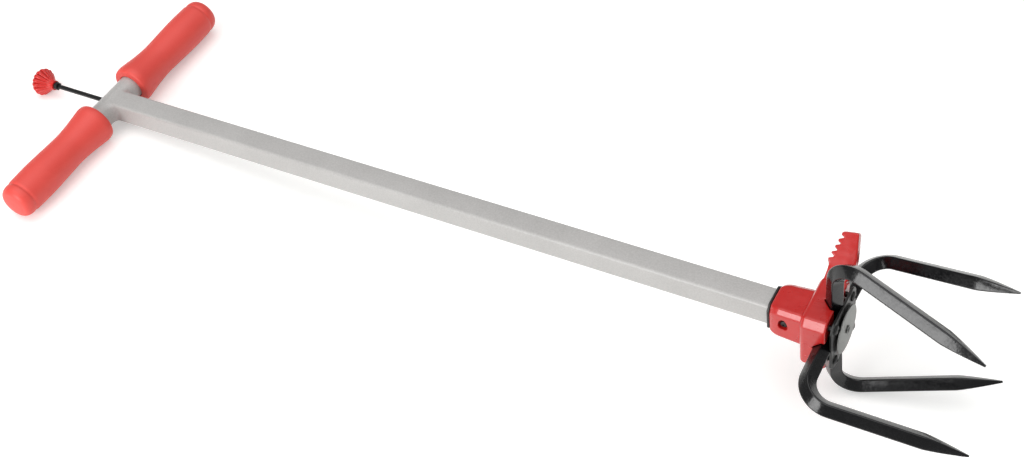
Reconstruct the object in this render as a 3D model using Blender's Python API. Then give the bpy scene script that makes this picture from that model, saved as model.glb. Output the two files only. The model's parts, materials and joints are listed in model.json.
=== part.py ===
"""Garden cultivator with a T-handle, a square shaft, a cast foot socket and four tines.

A rod runs through the whole shaft, from a knob behind the handle to a disc between the
tines, and pushes out what the tines have gathered.

The tool is modelled along its own shaft: +X runs from the handle to the points, +Y runs
along the handle, and the origin is where the two axes cross.  One empty then lays the
whole tool on the floor, where it rests on both grips and on one tine.  Lengths are metres.
"""

import math

import bmesh
import bpy
import numpy as np
from mathutils import Matrix, Vector

# Clearance between pieces that touch, and how far cutters reach past what they cut
FIT_GAP = 0.0003
CUT_MARGIN = 0.004

# Square shaft, whose ends are sized a little slimmer for the weld and the socket
SHAFT_HALF = 0.0125
SHAFT_END_HALF = 0.0124
SHAFT_CORNER = 0.003
SHAFT_WALL = 0.0015
SHAFT_START = 0.005
SHAFT_BARE_START = 0.022
SHAFT_BARE_END = 0.788
SHAFT_END = 0.8352

# Cross tube of the handle
BAR_RADIUS = 0.014
BAR_WALL = 0.0015
BAR_HALF_LENGTH = 0.1630
COPE_HALF_LENGTH = 0.030
COPE_STEPS = 64
WELD_RADIUS = 0.0026
WELD_CORNER_STEPS = 6
WELD_PATH_STEPS = 40
WELD_SECTION_STEPS = 8

# Grips: distance from the shaft's axis, and radius there
GRIP_SKIN = [
    (0.0285, 0.0174), (0.0300, 0.0200), (0.0332, 0.0223), (0.0385, 0.0233), (0.0450, 0.0226),
    (0.0600, 0.0205), (0.0780, 0.0193), (0.1000, 0.0199), (0.1250, 0.0207), (0.1450, 0.0206),
    (0.1590, 0.0200), (0.1660, 0.0187), (0.1698, 0.0156), (0.1710, 0.0108),
]
GRIP_SPAN_STEPS = 2

# Ejector rod, and the bushes that guide it
ROD_RADIUS = 0.0026
ROD_START = -0.0990
ROD_END = 0.8628
ROD_CHAMFER = 0.0006
GUIDE_BORE = 0.0029
TOP_GUIDE_RADIUS = 0.0039
TOP_GUIDE_FLANGE = 0.0052
TOP_GUIDE_FLANGE_THICKNESS = 0.0013
TOP_GUIDE_EASE = 0.0005
TOP_GUIDE_FRONT = -0.0090
BOTTOM_GUIDE_RADIUS = 0.0060

# Knob on the rod: place along the shaft and radius, from the neck to the dome
KNOB_SKIN = [
    (-0.0895, 0.0050), (-0.0925, 0.0054), (-0.0965, 0.0080), (-0.1008, 0.0119),
    (-0.1047, 0.0144), (-0.1077, 0.0147), (-0.1107, 0.0136), (-0.1147, 0.0104),
    (-0.1177, 0.0059), (-0.1190, 0.0020),
]
KNOB_SPAN_STEPS = 2
KNOB_RIBS = 20
KNOB_RIB_STEPS = 3
KNOB_RIB_DEPTH = 0.0009
KNOB_RIB_SPAN = 0.8
KNOB_RIB_FULLNESS = 0.7
KNOB_NUT_BACK = -0.0892
KNOB_NUT_FRONT = -0.0847
KNOB_NUT_FLATS = 0.0085
NUT_EASE = 0.0004

# Cast socket: a flared sleeve, a shoulder and a square head
SLEEVE_START = 0.7938
SOCKET_FLOOR = 0.8355
HEAD_FRONT = 0.8516
CAST_SECTIONS = [
    # place along the shaft, half side, chamfer
    (0.7938, 0.0166, 0.0040), (0.7950, 0.0174, 0.0042), (0.7985, 0.0184, 0.0044),
    (0.8010, 0.0188, 0.0045), (0.8250, 0.0199, 0.0047), (0.8262, 0.0240, 0.0052),
    (0.8272, 0.0280, 0.0060), (0.8288, 0.0302, 0.0064), (0.8310, 0.0310, 0.0066),
    (0.8506, 0.0310, 0.0066), (0.8516, 0.0300, 0.0064),
]
EDGE_EASE = 0.0011
COLLAR_BACK = 0.7905
COLLAR_HALF = 0.0170
COLLAR_CHAMFER = 0.0041
COLLAR_EASE = 0.0005
COLLAR_BORE_CHAMFER = 0.0006
COLLAR_BORE_EASE = 0.0003
HEAD_BOLT_CIRCLE = 0.0295
HEAD_BOLT_DEPTH = 0.8345

# Foot pedal, on the corner between two tines; the side view is (shaft, reach)
PEDAL_THICKNESS = 0.0096
PEDAL_ARM_BACK = [
    (0.8360, 0.0180), (0.8277, 0.0262), (0.8286, 0.0320), (0.8296, 0.0400),
    (0.8302, 0.0465), (0.8303, 0.0515),
]
PEDAL_FRONT = [
    (0.8521, 0.0710), (0.8538, 0.0600), (0.8539, 0.0500), (0.8526, 0.0440),
    (0.8500, 0.0405), (0.8480, 0.0180),
]
PEDAL_END_REACH = 0.0850
PEDAL_END_BACK_REACH = 0.0832
PEDAL_END_BACK_EASE = 0.0018
PEDAL_END_FRONT = 0.8496
PEDAL_END_FRONT_EASE = 0.0013
PEDAL_TEETH = 5
TOOTH_PITCH = 0.0062
TOOTH_DEPTH = 0.0036
TOOTH_TIP = 0.0016
TOOTH_GULLET = 0.0008
FIRST_TOOTH_REACH = 0.0562
FIRST_TOOTH_PLACE = 0.8284
TOOTH_LINE_SLOPE = 0.245
PEDAL_EDGE = 0.0010
PEDAL_EDGE_PLACE = 0.8355
PEDAL_EDGE_REACH = 0.030

# Screw that holds the socket to the shaft, with distances from the shaft's axis
SOCKET_SCREW_PLACE = 0.8075
RECESS_RADIUS = 0.0047
RECESS_FLOOR = 0.0149
SOCKET_SCREW_SHANK = 0.0022
SOCKET_SCREW_HEAD = 0.0034
SOCKET_SCREW_HEIGHT = 0.0018
SOCKET_SCREW_HEX = 0.0020
SOCKET_SCREW_END = 0.0095
SCREW_HOLE_END = 0.0085
SLEEVE_CUT_START = 0.030

# Tines: square bar, set corner forward in the head, bent and drawn to a point
TINE_COUNT = 4
TINE_HALF = 0.0060
TINE_CORNER = 0.0013
TINE_CORNER_STEPS = 2
TINE_HUB = Vector((0.8480, 0.0094, 0.0))
TINE_CORNER_POINT = Vector((0.8496, 0.0883, 0.0006))
TINE_TIP = Vector((0.9914, 0.0600, 0.0413))
TINE_BEND_RADIUS = 0.023
TINE_BEND_STEPS = 14
TINE_POINT_LENGTH = 0.040
TINE_POINT_STEPS = 7
TINE_POINT_HALF = 0.0009
TINE_POINT_BULGE = 1.25
TINE_ROOT_ROLL = math.radians(45.0)
TINE_PRONG_ROLL = math.radians(36.0)

# V-shaped channels that hold the tine roots
CHANNEL_HALF_WIDTH = (TINE_HALF + FIT_GAP) * math.sqrt(2.0)
CHANNEL_HALF_LENGTH = 0.050

# Clamp plate in front of the tine roots, and its bolts
PLATE_BACK = 0.8556
PLATE_FRONT = 0.8576
PLATE_GROOVE_FLOOR = 0.8568
GROOVE_SLACK = 0.0008
PLATE_HALF = 0.0300
PLATE_CHAMFER = 0.0064
PLATE_EASE = 0.0005
PLATE_BORE = 0.0052
BOLT_SHANK = 0.0025
BOLT_HEAD = 0.0046
BOLT_HEAD_HEIGHT = 0.0025
BOLT_HEX = 0.0030
BOLT_END_GAP = 0.0010
SCREW_CHAMFER = 0.0005
HEAD_RIM = 0.25
HEAD_ROUND_STEPS = 3
HEAD_ROUNDNESS = 0.62
HEX_DEPTH = 0.55

# Ejector disc, the collar behind it and the round nut in front
DISC_RADIUS = 0.0232
DISC_BACK = 0.8596
DISC_THICKNESS = 0.0013
DISC_EASE = 0.0004
DISC_COLLAR_FLATS = 0.0080
DISC_COLLAR_HEIGHT = 0.0022
DISC_NUT_RADIUS = 0.0039
DISC_NUT_HEIGHT = 0.0012
DISC_NUT_CHAMFER = 0.0005

# Facets round each kind of turned shape, and the angle below which shading is smooth
ROUND_STEPS = 30
DISC_STEPS = 48
SMALL_STEPS = 18
BOLT_STEPS = 16
ROD_STEPS = 16
MERGE_DISTANCE = 1e-6
SMOOTH_ANGLE = 35.0
CAST_SMOOTH_ANGLE = 30.0
WELD_SMOOTH_ANGLE = 80.0
KNOB_SMOOTH_ANGLE = 50.0
TILT_ROUNDS = 12

X_AXIS = Vector((1.0, 0.0, 0.0))
Y_AXIS = Vector((0.0, 1.0, 0.0))
Z_AXIS = Vector((0.0, 0.0, 1.0))
OUTWARD_45 = Vector((0.0, math.sqrt(0.5), math.sqrt(0.5)))
ACROSS_45 = Vector((0.0, -math.sqrt(0.5), math.sqrt(0.5)))


# Scene, finishes and objects


def clear_scene():
    """Remove every object that is already in the scene."""
    for item in list(bpy.data.objects):
        bpy.data.objects.remove(item, do_unlink=True)


def make_finish(name, colour, roughness, metallic=0.0):
    """Return a Principled material of one linear colour."""
    finish = bpy.data.materials.new(name)
    finish.use_nodes = True
    shader = finish.node_tree.nodes["Principled BSDF"]
    shader.inputs["Base Color"].default_value = (*colour, 1.0)
    shader.inputs["Roughness"].default_value = roughness
    shader.inputs["Metallic"].default_value = metallic
    return finish


def make_object(name, mesh, finish, parent):
    """Link a mesh as an object with one finish, under a parent."""
    item = bpy.data.objects.new(name, mesh)
    bpy.context.scene.collection.objects.link(item)
    item.parent = parent
    item.data.materials.clear()
    item.data.materials.append(finish)
    return item


def finish_mesh(name, shape, smooth_angle=None):
    """Turn a bmesh into a mesh whose faces point out, shaded smooth below an angle."""
    bmesh.ops.remove_doubles(shape, verts=shape.verts, dist=MERGE_DISTANCE)
    bmesh.ops.recalc_face_normals(shape, faces=shape.faces)
    mesh = bpy.data.meshes.new(name)
    shape.to_mesh(mesh)
    shape.free()
    if smooth_angle is not None:
        mesh.shade_smooth()
        mesh.set_sharp_from_angle(angle=math.radians(smooth_angle))
    return mesh


def boolean(target, tool, operation):
    """Cut a tool out of a target, or join it on, and keep the tool as a hidden guide."""
    change = target.modifiers.new(tool.name, "BOOLEAN")
    change.operation = operation
    change.object = tool
    tool.hide_render = True
    tool.display_type = "WIRE"


# Shapes


def skin_rings(shape, rings, closed=False):
    """Join rings of points with faces, and cap both ends or close the last to the first."""
    loops = [[shape.verts.new(point) for point in ring] for ring in rings]
    pairs = list(zip(loops, loops[1:]))
    if closed:
        pairs.append((loops[-1], loops[0]))
    for first, second in pairs:
        count = len(first)
        for index in range(count):
            after = (index + 1) % count
            shape.faces.new((first[index], first[after], second[after], second[index]))
    if not closed:
        shape.faces.new(loops[0])
        shape.faces.new(loops[-1])


def turned_mesh(name, profile, axis, steps, smooth_angle=SMOOTH_ANGLE):
    """Spin a profile of (place, radius) points about an axis through the origin.

    A profile that starts and ends on the axis gives a solid; any other one is closed on
    itself and gives a ring with a bore.
    """
    shape = bmesh.new()
    verts = [shape.verts.new(axis * place + Z_AXIS * radius) for place, radius in profile]
    edges = [shape.edges.new(pair) for pair in zip(verts, verts[1:])]
    on_axis = profile[0][1] == 0.0 and profile[-1][1] == 0.0
    if not on_axis:
        edges.append(shape.edges.new((verts[-1], verts[0])))
    bmesh.ops.spin(
        shape, geom=verts + edges, cent=(0, 0, 0), axis=axis,
        angle=2.0 * math.pi, steps=steps, use_merge=True,
    )
    return finish_mesh(name, shape, smooth_angle)


def section_ring(place, outline):
    """Return an outline of (y, z) points as a ring at a place along the shaft."""
    return [Vector((place, y, z)) for y, z in outline]


def prism_mesh(name, outline, start, end):
    """Extrude an outline of (y, z) points along the shaft."""
    shape = bmesh.new()
    skin_rings(shape, [section_ring(start, outline), section_ring(end, outline)])
    return finish_mesh(name, shape, SMOOTH_ANGLE)


def cross_prism_mesh(name, outline, along, half_length):
    """Extrude an outline of (shaft, side) points both ways across the shaft."""
    side = along.cross(X_AXIS)
    shape = bmesh.new()
    rings = []
    for end in (-half_length, half_length):
        rings.append([X_AXIS * place + side * offset + along * end for place, offset in outline])
    skin_rings(shape, rings)
    return finish_mesh(name, shape)


def smooth_profile(stations, steps):
    """Return a Catmull-Rom curve through (place, radius) stations, steps points a span."""
    points = np.array(stations)
    ends = np.vstack([2 * points[0] - points[1], points, 2 * points[-1] - points[-2]])
    curve = []
    for before, first, second, after in zip(ends, ends[1:], ends[2:], ends[3:]):
        for t in np.linspace(0.0, 1.0, steps, endpoint=False):
            bend = 2 * before - 5 * first + 4 * second - after
            turn = 3 * first - before - 3 * second + after
            curve.append(0.5 * (2 * first + (second - before) * t + bend * t**2 + turn * t**3))
    curve.append(points[-1])
    return [(float(place), float(radius)) for place, radius in curve]


def rounded_square(half, corner, steps=4):
    """Return a square outline whose corners are arcs."""
    outline = []
    for quarter in range(4):
        centre = Vector((half - corner, half - corner)) @ Matrix.Rotation(-quarter * math.pi / 2, 2)
        for step in range(steps + 1):
            angle = quarter * math.pi / 2 + step / steps * math.pi / 2
            outline.append((centre.x + corner * math.cos(angle), centre.y + corner * math.sin(angle)))
    return outline


def evenly_spaced(outline, count):
    """Return count points at equal distances along a closed outline."""
    points = np.array(outline + outline[:1])
    lengths = np.hypot(*np.diff(points, axis=0).T)
    along = np.concatenate([[0.0], np.cumsum(lengths)])
    wanted = np.linspace(0.0, along[-1], count, endpoint=False)
    first = np.interp(wanted, along, points[:, 0])
    second = np.interp(wanted, along, points[:, 1])
    return [(float(y), float(z)) for y, z in zip(first, second)]


def chamfered_square(half, chamfer, ease=EDGE_EASE):
    """Return a square outline with chamfered corners whose own edges are eased."""
    corner = [
        (half, half - chamfer - ease),
        (half - ease * 0.7, half - chamfer + ease * 0.7),
        (half - chamfer + ease * 0.7, half - ease * 0.7),
        (half - chamfer - ease, half),
    ]
    outline = []
    for quarter in range(4):
        turn = Matrix.Rotation(-quarter * math.pi / 2, 2)
        outline += [tuple(Vector(point) @ turn) for point in corner]
    return outline


def hexagon(flats):
    """Return a hexagon outline of a size across flats."""
    radius = flats / math.sqrt(3.0)
    angles = [math.radians(60 * side) for side in range(6)]
    return [(radius * math.cos(angle), radius * math.sin(angle)) for angle in angles]


def circle(radius, steps):
    """Return a round outline."""
    angles = [2 * math.pi * step / steps for step in range(steps)]
    return [(radius * math.cos(angle), radius * math.sin(angle)) for angle in angles]


# Shaft and handle


def make_shaft_tube(tool, grey):
    """Square tube, coped to the cross tube at one end and drilled for the socket screw."""
    shape = bmesh.new()
    outside = rounded_square(SHAFT_HALF, SHAFT_CORNER)
    sized = rounded_square(SHAFT_END_HALF, SHAFT_CORNER)
    inside = rounded_square(SHAFT_HALF - SHAFT_WALL, SHAFT_CORNER - SHAFT_WALL)
    skin_rings(shape, [
        section_ring(SHAFT_START, sized), section_ring(SHAFT_BARE_START, sized),
        section_ring(SHAFT_BARE_START, outside), section_ring(SHAFT_BARE_END, outside),
        section_ring(SHAFT_BARE_END, sized), section_ring(SHAFT_END, sized),
        section_ring(SHAFT_END, inside), section_ring(SHAFT_START, inside),
    ], closed=True)
    shaft = make_object("shaft_tube", finish_mesh("shaft_tube", shape, SMOOTH_ANGLE), grey, tool)
    cope_mesh = plain_cylinder("cope_guide", BAR_RADIUS + FIT_GAP, -COPE_HALF_LENGTH, COPE_HALF_LENGTH,
                               COPE_STEPS)
    boolean(shaft, make_object("cope_guide", cope_mesh, grey, tool), "DIFFERENCE")
    drill_mesh = plain_cylinder("shaft_screw_guide", SOCKET_SCREW_SHANK + FIT_GAP, -SLEEVE_CUT_START,
                                -SCREW_HOLE_END, SMALL_STEPS)
    drill = make_object("shaft_screw_guide", drill_mesh, grey, tool)
    drill.location.x = SOCKET_SCREW_PLACE
    boolean(shaft, drill, "DIFFERENCE")
    return shaft


def plain_cylinder(name, radius, start, end, steps):
    """Cylinder along the handle's direction."""
    profile = [(start, 0.0), (start, radius), (end, radius), (end, 0.0)]
    return turned_mesh(name, profile, Y_AXIS, steps)


def make_handle_bar(tool, grey):
    """Round cross tube with holes in both walls for the ejector rod."""
    inner = BAR_RADIUS - BAR_WALL
    profile = [
        (-BAR_HALF_LENGTH, inner), (-BAR_HALF_LENGTH, BAR_RADIUS),
        (BAR_HALF_LENGTH, BAR_RADIUS), (BAR_HALF_LENGTH, inner),
    ]
    bar = make_object("handle_bar", turned_mesh("handle_bar", profile, Y_AXIS, ROUND_STEPS), grey, tool)
    reach = BAR_RADIUS + CUT_MARGIN
    outline = circle(TOP_GUIDE_RADIUS + FIT_GAP, SMALL_STEPS)
    drill_mesh = prism_mesh("bar_drill_guide", outline, -reach, reach)
    boolean(bar, make_object("bar_drill_guide", drill_mesh, grey, tool), "DIFFERENCE")
    return bar


def make_weld(tool, grey):
    """Weld bead round the coped joint: a round section carried along the corner line.

    The line is the shaft's outline, moved out by the bead, laid on the cross tube's skin.
    """
    offset = WELD_RADIUS + FIT_GAP
    reach = BAR_RADIUS + offset
    corner_line = rounded_square(SHAFT_HALF + offset, SHAFT_CORNER + offset, WELD_CORNER_STEPS)
    outline = evenly_spaced(corner_line, WELD_PATH_STEPS)
    path = [Vector((math.sqrt(reach**2 - z**2), y, z)) for y, z in outline]
    shape = bmesh.new()
    rings = []
    for index, point in enumerate(path):
        ahead = (path[(index + 1) % len(path)] - path[index - 1]).normalized()
        out = Vector((0.0, point.y, point.z)).normalized()
        side = ahead.cross(out).normalized()
        up = side.cross(ahead)
        section = circle(WELD_RADIUS, WELD_SECTION_STEPS)
        rings.append([point + up * y + side * z for y, z in section])
    skin_rings(shape, rings, closed=True)
    return make_object("handle_weld", finish_mesh("handle_weld", shape, WELD_SMOOTH_ANGLE), grey, tool)


def make_grip(name, direction, tool, red):
    """Moulded grip: flared collar, waist, palm swelling and closed end, with a blind bore."""
    bore = BAR_RADIUS + FIT_GAP
    bore_end = BAR_HALF_LENGTH + FIT_GAP
    skin = smooth_profile(GRIP_SKIN, GRIP_SPAN_STEPS)
    inside = [(bore_end, 0.0), (bore_end, bore), (skin[0][0], bore)]
    profile = inside + skin + [(skin[-1][0], 0.0)]
    mesh = turned_mesh(name, profile, Y_AXIS * direction, ROUND_STEPS)
    return make_object(name, mesh, red, tool)


# Ejector


def make_rod(ejector, black):
    """Plain rod with chamfered ends."""
    profile = [
        (ROD_START, 0.0), (ROD_START, ROD_RADIUS - ROD_CHAMFER), (ROD_START + ROD_CHAMFER, ROD_RADIUS),
        (ROD_END - ROD_CHAMFER, ROD_RADIUS), (ROD_END, ROD_RADIUS - ROD_CHAMFER), (ROD_END, 0.0),
    ]
    mesh = turned_mesh("ejector_rod", profile, X_AXIS, ROD_STEPS)
    return make_object("ejector_rod", mesh, black, ejector)


def make_knob(ejector, red):
    """Mushroom knob with ribs on its underside.

    Each ring of the skin is a circle whose radius swings with the ribs.  The swing is
    full on the cone under the rim and dies away at the neck and over the dome.
    """
    bore = ROD_RADIUS + FIT_GAP
    neck, dome = KNOB_SKIN[0][0], KNOB_SKIN[-1][0]
    sections = [(ROD_START - FIT_GAP, bore, 0.0), (neck, bore, 0.0)]
    for place, radius in smooth_profile(KNOB_SKIN, KNOB_SPAN_STEPS):
        along = min(1.0, (neck - place) / (neck - dome) / KNOB_RIB_SPAN)
        swing = KNOB_RIB_DEPTH * max(0.0, math.sin(math.pi * along)) ** KNOB_RIB_FULLNESS
        sections.append((place, radius, swing))
    steps = KNOB_RIBS * KNOB_RIB_STEPS
    shape = bmesh.new()
    rings = []
    for place, radius, swing in sections:
        ring = []
        for step in range(steps):
            angle = 2 * math.pi * step / steps
            length = radius + swing * math.cos(KNOB_RIBS * angle)
            ring.append(Vector((place, length * math.cos(angle), length * math.sin(angle))))
        rings.append(ring)
    skin_rings(shape, rings)
    mesh = finish_mesh("ejector_knob", shape, KNOB_SMOOTH_ANGLE)
    return make_object("ejector_knob", mesh, red, ejector)


def make_nut(name, flats, start, end, parent, finish):
    """Hexagon nut, bored for the rod."""
    shape = bmesh.new()
    outline = hexagon(flats)
    bore = hexagon((ROD_RADIUS + FIT_GAP) * 2.0)
    skin_rings(shape, [
        section_ring(start, outline), section_ring(end, outline),
        section_ring(end, bore), section_ring(start, bore),
    ], closed=True)
    outer_edges = [
        edge for edge in shape.edges
        if all(math.hypot(vert.co.y, vert.co.z) > flats / 2 for vert in edge.verts)
    ]
    bmesh.ops.bevel(shape, geom=outer_edges, offset=NUT_EASE, segments=1, affect="EDGES")
    return make_object(name, finish_mesh(name, shape), finish, parent)


def make_disc(ejector, grey):
    """Flat disc with eased edges, bored for the rod."""
    bore = ROD_RADIUS + FIT_GAP
    front = DISC_BACK + DISC_THICKNESS
    profile = [
        (DISC_BACK, bore), (DISC_BACK, DISC_RADIUS - DISC_EASE), (DISC_BACK + DISC_EASE, DISC_RADIUS),
        (front - DISC_EASE, DISC_RADIUS), (front, DISC_RADIUS - DISC_EASE), (front, bore),
    ]
    mesh = turned_mesh("ejector_disc", profile, X_AXIS, DISC_STEPS)
    return make_object("ejector_disc", mesh, grey, ejector)


def make_disc_nut(ejector, grey):
    """Low round nut in front of the disc, chamfered at its front edge."""
    bore = ROD_RADIUS + FIT_GAP
    back = DISC_BACK + DISC_THICKNESS + FIT_GAP
    front = back + DISC_NUT_HEIGHT
    profile = [
        (back, bore), (back, DISC_NUT_RADIUS), (front - DISC_NUT_CHAMFER, DISC_NUT_RADIUS),
        (front, DISC_NUT_RADIUS - DISC_NUT_CHAMFER), (front, bore),
    ]
    mesh = turned_mesh("disc_nut", profile, X_AXIS, SMALL_STEPS)
    return make_object("disc_nut", mesh, grey, ejector)


def make_guide_top(tool, black):
    """Flanged bush in the cross tube's rear wall."""
    face = -BAR_RADIUS - FIT_GAP
    back = face - TOP_GUIDE_FLANGE_THICKNESS
    profile = [
        (back, GUIDE_BORE), (back, TOP_GUIDE_FLANGE - TOP_GUIDE_EASE),
        (back + TOP_GUIDE_EASE, TOP_GUIDE_FLANGE), (face, TOP_GUIDE_FLANGE), (face, TOP_GUIDE_RADIUS),
        (TOP_GUIDE_FRONT, TOP_GUIDE_RADIUS), (TOP_GUIDE_FRONT, GUIDE_BORE),
    ]
    mesh = turned_mesh("rod_guide_top", profile, X_AXIS, SMALL_STEPS)
    return make_object("rod_guide_top", mesh, black, tool)


def make_guide_bottom(tool, black):
    """Plain bush between the tine roots, held between the shaft's end and the clamp plate."""
    back, front = SOCKET_FLOOR, PLATE_BACK - FIT_GAP
    profile = [
        (back, GUIDE_BORE), (back, BOTTOM_GUIDE_RADIUS),
        (front, BOTTOM_GUIDE_RADIUS), (front, GUIDE_BORE),
    ]
    mesh = turned_mesh("rod_guide_bottom", profile, X_AXIS, SMALL_STEPS)
    return make_object("rod_guide_bottom", mesh, black, tool)


# Cast socket


def pedal_outline():
    """Return the pedal's side view as (shaft, reach) points.

    The back edge, towards the handle, carries the teeth.  Each tooth is a flat tip between
    two gullets, stepped along the sloping back line.
    """
    outline = list(PEDAL_ARM_BACK)
    flank = (TOOTH_PITCH - TOOTH_GULLET) / 2
    rise = TOOTH_LINE_SLOPE * flank
    for tooth in range(PEDAL_TEETH):
        reach = FIRST_TOOTH_REACH + tooth * TOOTH_PITCH
        back = FIRST_TOOTH_PLACE + tooth * TOOTH_PITCH * TOOTH_LINE_SLOPE
        if tooth > 0:
            outline.append((back + TOOTH_DEPTH - rise, reach - flank))
        outline += [(back, reach - TOOTH_TIP / 2), (back, reach + TOOTH_TIP / 2)]
        if tooth < PEDAL_TEETH - 1:
            outline.append((back + TOOTH_DEPTH + rise, reach + flank))
    outline += [
        (outline[-1][0] + PEDAL_END_BACK_EASE, PEDAL_END_BACK_REACH),
        (PEDAL_END_FRONT - PEDAL_END_FRONT_EASE, PEDAL_END_REACH),
        (PEDAL_END_FRONT, PEDAL_END_REACH - PEDAL_END_FRONT_EASE),
    ]
    return outline + PEDAL_FRONT


def make_pedal_guide(tool, red):
    """Foot pedal as a plate of its side view, eased along its smooth edges."""
    shape = bmesh.new()
    half = PEDAL_THICKNESS / 2
    rings = []
    for side in (-half, half):
        rings.append([X_AXIS * place + OUTWARD_45 * reach + ACROSS_45 * side
                      for place, reach in pedal_outline()])
    skin_rings(shape, rings)
    smooth_edges = []
    for edge in shape.edges:
        first, second = (vert.co for vert in edge.verts)
        same_side = abs((first - second).dot(ACROSS_45)) < MERGE_DISTANCE
        forward = min(first.x, second.x) > PEDAL_EDGE_PLACE
        outside = min(first.dot(OUTWARD_45), second.dot(OUTWARD_45)) > PEDAL_EDGE_REACH
        if same_side and forward and outside:
            smooth_edges.append(edge)
    bmesh.ops.bevel(shape, geom=smooth_edges, offset=PEDAL_EDGE, segments=2, profile=0.5, affect="EDGES")
    return make_object("pedal_guide", finish_mesh("pedal_guide", shape, SMOOTH_ANGLE), red, tool)


def make_foot_socket(tool, red):
    """Casting: flared sleeve, square head with crossed V channels, and the pedal."""
    shape = bmesh.new()
    skin_rings(shape, [
        section_ring(place, chamfered_square(half, chamfer)) for place, half, chamfer in CAST_SECTIONS
    ])
    socket = make_object("foot_socket", finish_mesh("foot_socket", shape, CAST_SMOOTH_ANGLE), red, tool)
    boolean(socket, make_pedal_guide(tool, red), "UNION")

    bore_outline = rounded_square(SHAFT_HALF + FIT_GAP, SHAFT_CORNER)
    bore_mesh = prism_mesh("socket_bore_guide", bore_outline, SLEEVE_START - CUT_MARGIN, SOCKET_FLOOR)
    boolean(socket, make_object("socket_bore_guide", bore_mesh, red, tool), "DIFFERENCE")

    front = HEAD_FRONT + CUT_MARGIN
    channel = [
        (TINE_HUB.x - CHANNEL_HALF_WIDTH, 0.0), (TINE_HUB.x, CHANNEL_HALF_WIDTH),
        (front, CHANNEL_HALF_WIDTH), (front, -CHANNEL_HALF_WIDTH), (TINE_HUB.x, -CHANNEL_HALF_WIDTH),
    ]
    for name, along in (("channel_y_guide", Y_AXIS), ("channel_z_guide", Z_AXIS)):
        mesh = cross_prism_mesh(name, channel, along, CHANNEL_HALF_LENGTH)
        boolean(socket, make_object(name, mesh, red, tool), "DIFFERENCE")

    bush_outline = circle(BOTTOM_GUIDE_RADIUS + FIT_GAP, SMALL_STEPS)
    bush_mesh = prism_mesh("bush_bore_guide", bush_outline, SOCKET_FLOOR - CUT_MARGIN, front)
    boolean(socket, make_object("bush_bore_guide", bush_mesh, red, tool), "DIFFERENCE")

    cut_bolt_holes(socket, "bolt_hole_guide", HEAD_BOLT_DEPTH, front, red, tool)
    boolean(socket, make_recess_guide(tool, red), "DIFFERENCE")
    return socket


def make_recess_guide(tool, red):
    """Stepped cutter for the socket screw: a recess for its head and a hole for its shank."""
    hole = SOCKET_SCREW_SHANK + FIT_GAP
    profile = [
        (-SLEEVE_CUT_START, 0.0), (-SLEEVE_CUT_START, RECESS_RADIUS), (-RECESS_FLOOR, RECESS_RADIUS),
        (-RECESS_FLOOR, hole), (-SCREW_HOLE_END, hole), (-SCREW_HOLE_END, 0.0),
    ]
    mesh = turned_mesh("screw_recess_guide", profile, Y_AXIS, SMALL_STEPS)
    guide = make_object("screw_recess_guide", mesh, red, tool)
    guide.location.x = SOCKET_SCREW_PLACE
    return guide


def cut_bolt_holes(item, name, start, end, finish, tool):
    """Cut the four clamp bolts' holes out of a piece."""
    outline = circle(BOLT_SHANK + FIT_GAP, BOLT_STEPS)
    mesh = prism_mesh(name, outline, start, end)
    for index in range(TINE_COUNT):
        hole = make_object("%s_%d" % (name, index + 1), mesh, finish, tool)
        place_bolt(hole, index)
        boolean(item, hole, "DIFFERENCE")


def place_bolt(item, index):
    """Move a piece that lies on the shaft's axis to one corner of the bolt circle."""
    angle = math.pi / 4 + index * math.pi / 2
    item.location.y = HEAD_BOLT_CIRCLE * math.cos(angle)
    item.location.z = HEAD_BOLT_CIRCLE * math.sin(angle)


def make_collar(tool, black):
    """Square ring between the casting and the visible shaft."""
    shape = bmesh.new()
    back, front = COLLAR_BACK, SLEEVE_START - FIT_GAP
    eased = chamfered_square(COLLAR_HALF - COLLAR_EASE, COLLAR_CHAMFER)
    outside = chamfered_square(COLLAR_HALF, COLLAR_CHAMFER)
    inside = chamfered_square(SHAFT_HALF + FIT_GAP, COLLAR_BORE_CHAMFER, COLLAR_BORE_EASE)
    skin_rings(shape, [
        section_ring(back, eased), section_ring(back + COLLAR_EASE, outside),
        section_ring(front, outside), section_ring(front, inside), section_ring(back, inside),
    ], closed=True)
    return make_object("socket_collar", finish_mesh("socket_collar", shape, CAST_SMOOTH_ANGLE), black, tool)


def button_screw(name, shank, length, head, height, hex_flats, finish, tool):
    """Button-head screw along +X from its seat, with a hexagon socket cut in the head.

    The head's skin has a short upright rim, then a quarter turn up to a flat top.
    """
    profile = [
        (-length, 0.0), (-length, shank - SCREW_CHAMFER), (SCREW_CHAMFER - length, shank),
        (0.0, shank), (0.0, head), (height * HEAD_RIM, head),
    ]
    for step in range(1, HEAD_ROUND_STEPS + 1):
        angle = step / (HEAD_ROUND_STEPS + 1) * math.pi / 2
        climb = HEAD_RIM + (1.0 - HEAD_RIM) * math.sin(angle)
        profile.append((height * climb, head * math.cos(angle * HEAD_ROUNDNESS)))
    profile += [(height, head * math.cos(math.pi / 2 * HEAD_ROUNDNESS)), (height, 0.0)]
    screw = make_object(name, turned_mesh(name, profile, X_AXIS, BOLT_STEPS), finish, tool)
    guide_name = name + "_guide"
    cutter = prism_mesh(guide_name, hexagon(hex_flats), height * (1.0 - HEX_DEPTH), height + CUT_MARGIN)
    boolean(screw, make_object(guide_name, cutter, finish, screw), "DIFFERENCE")
    return screw


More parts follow.
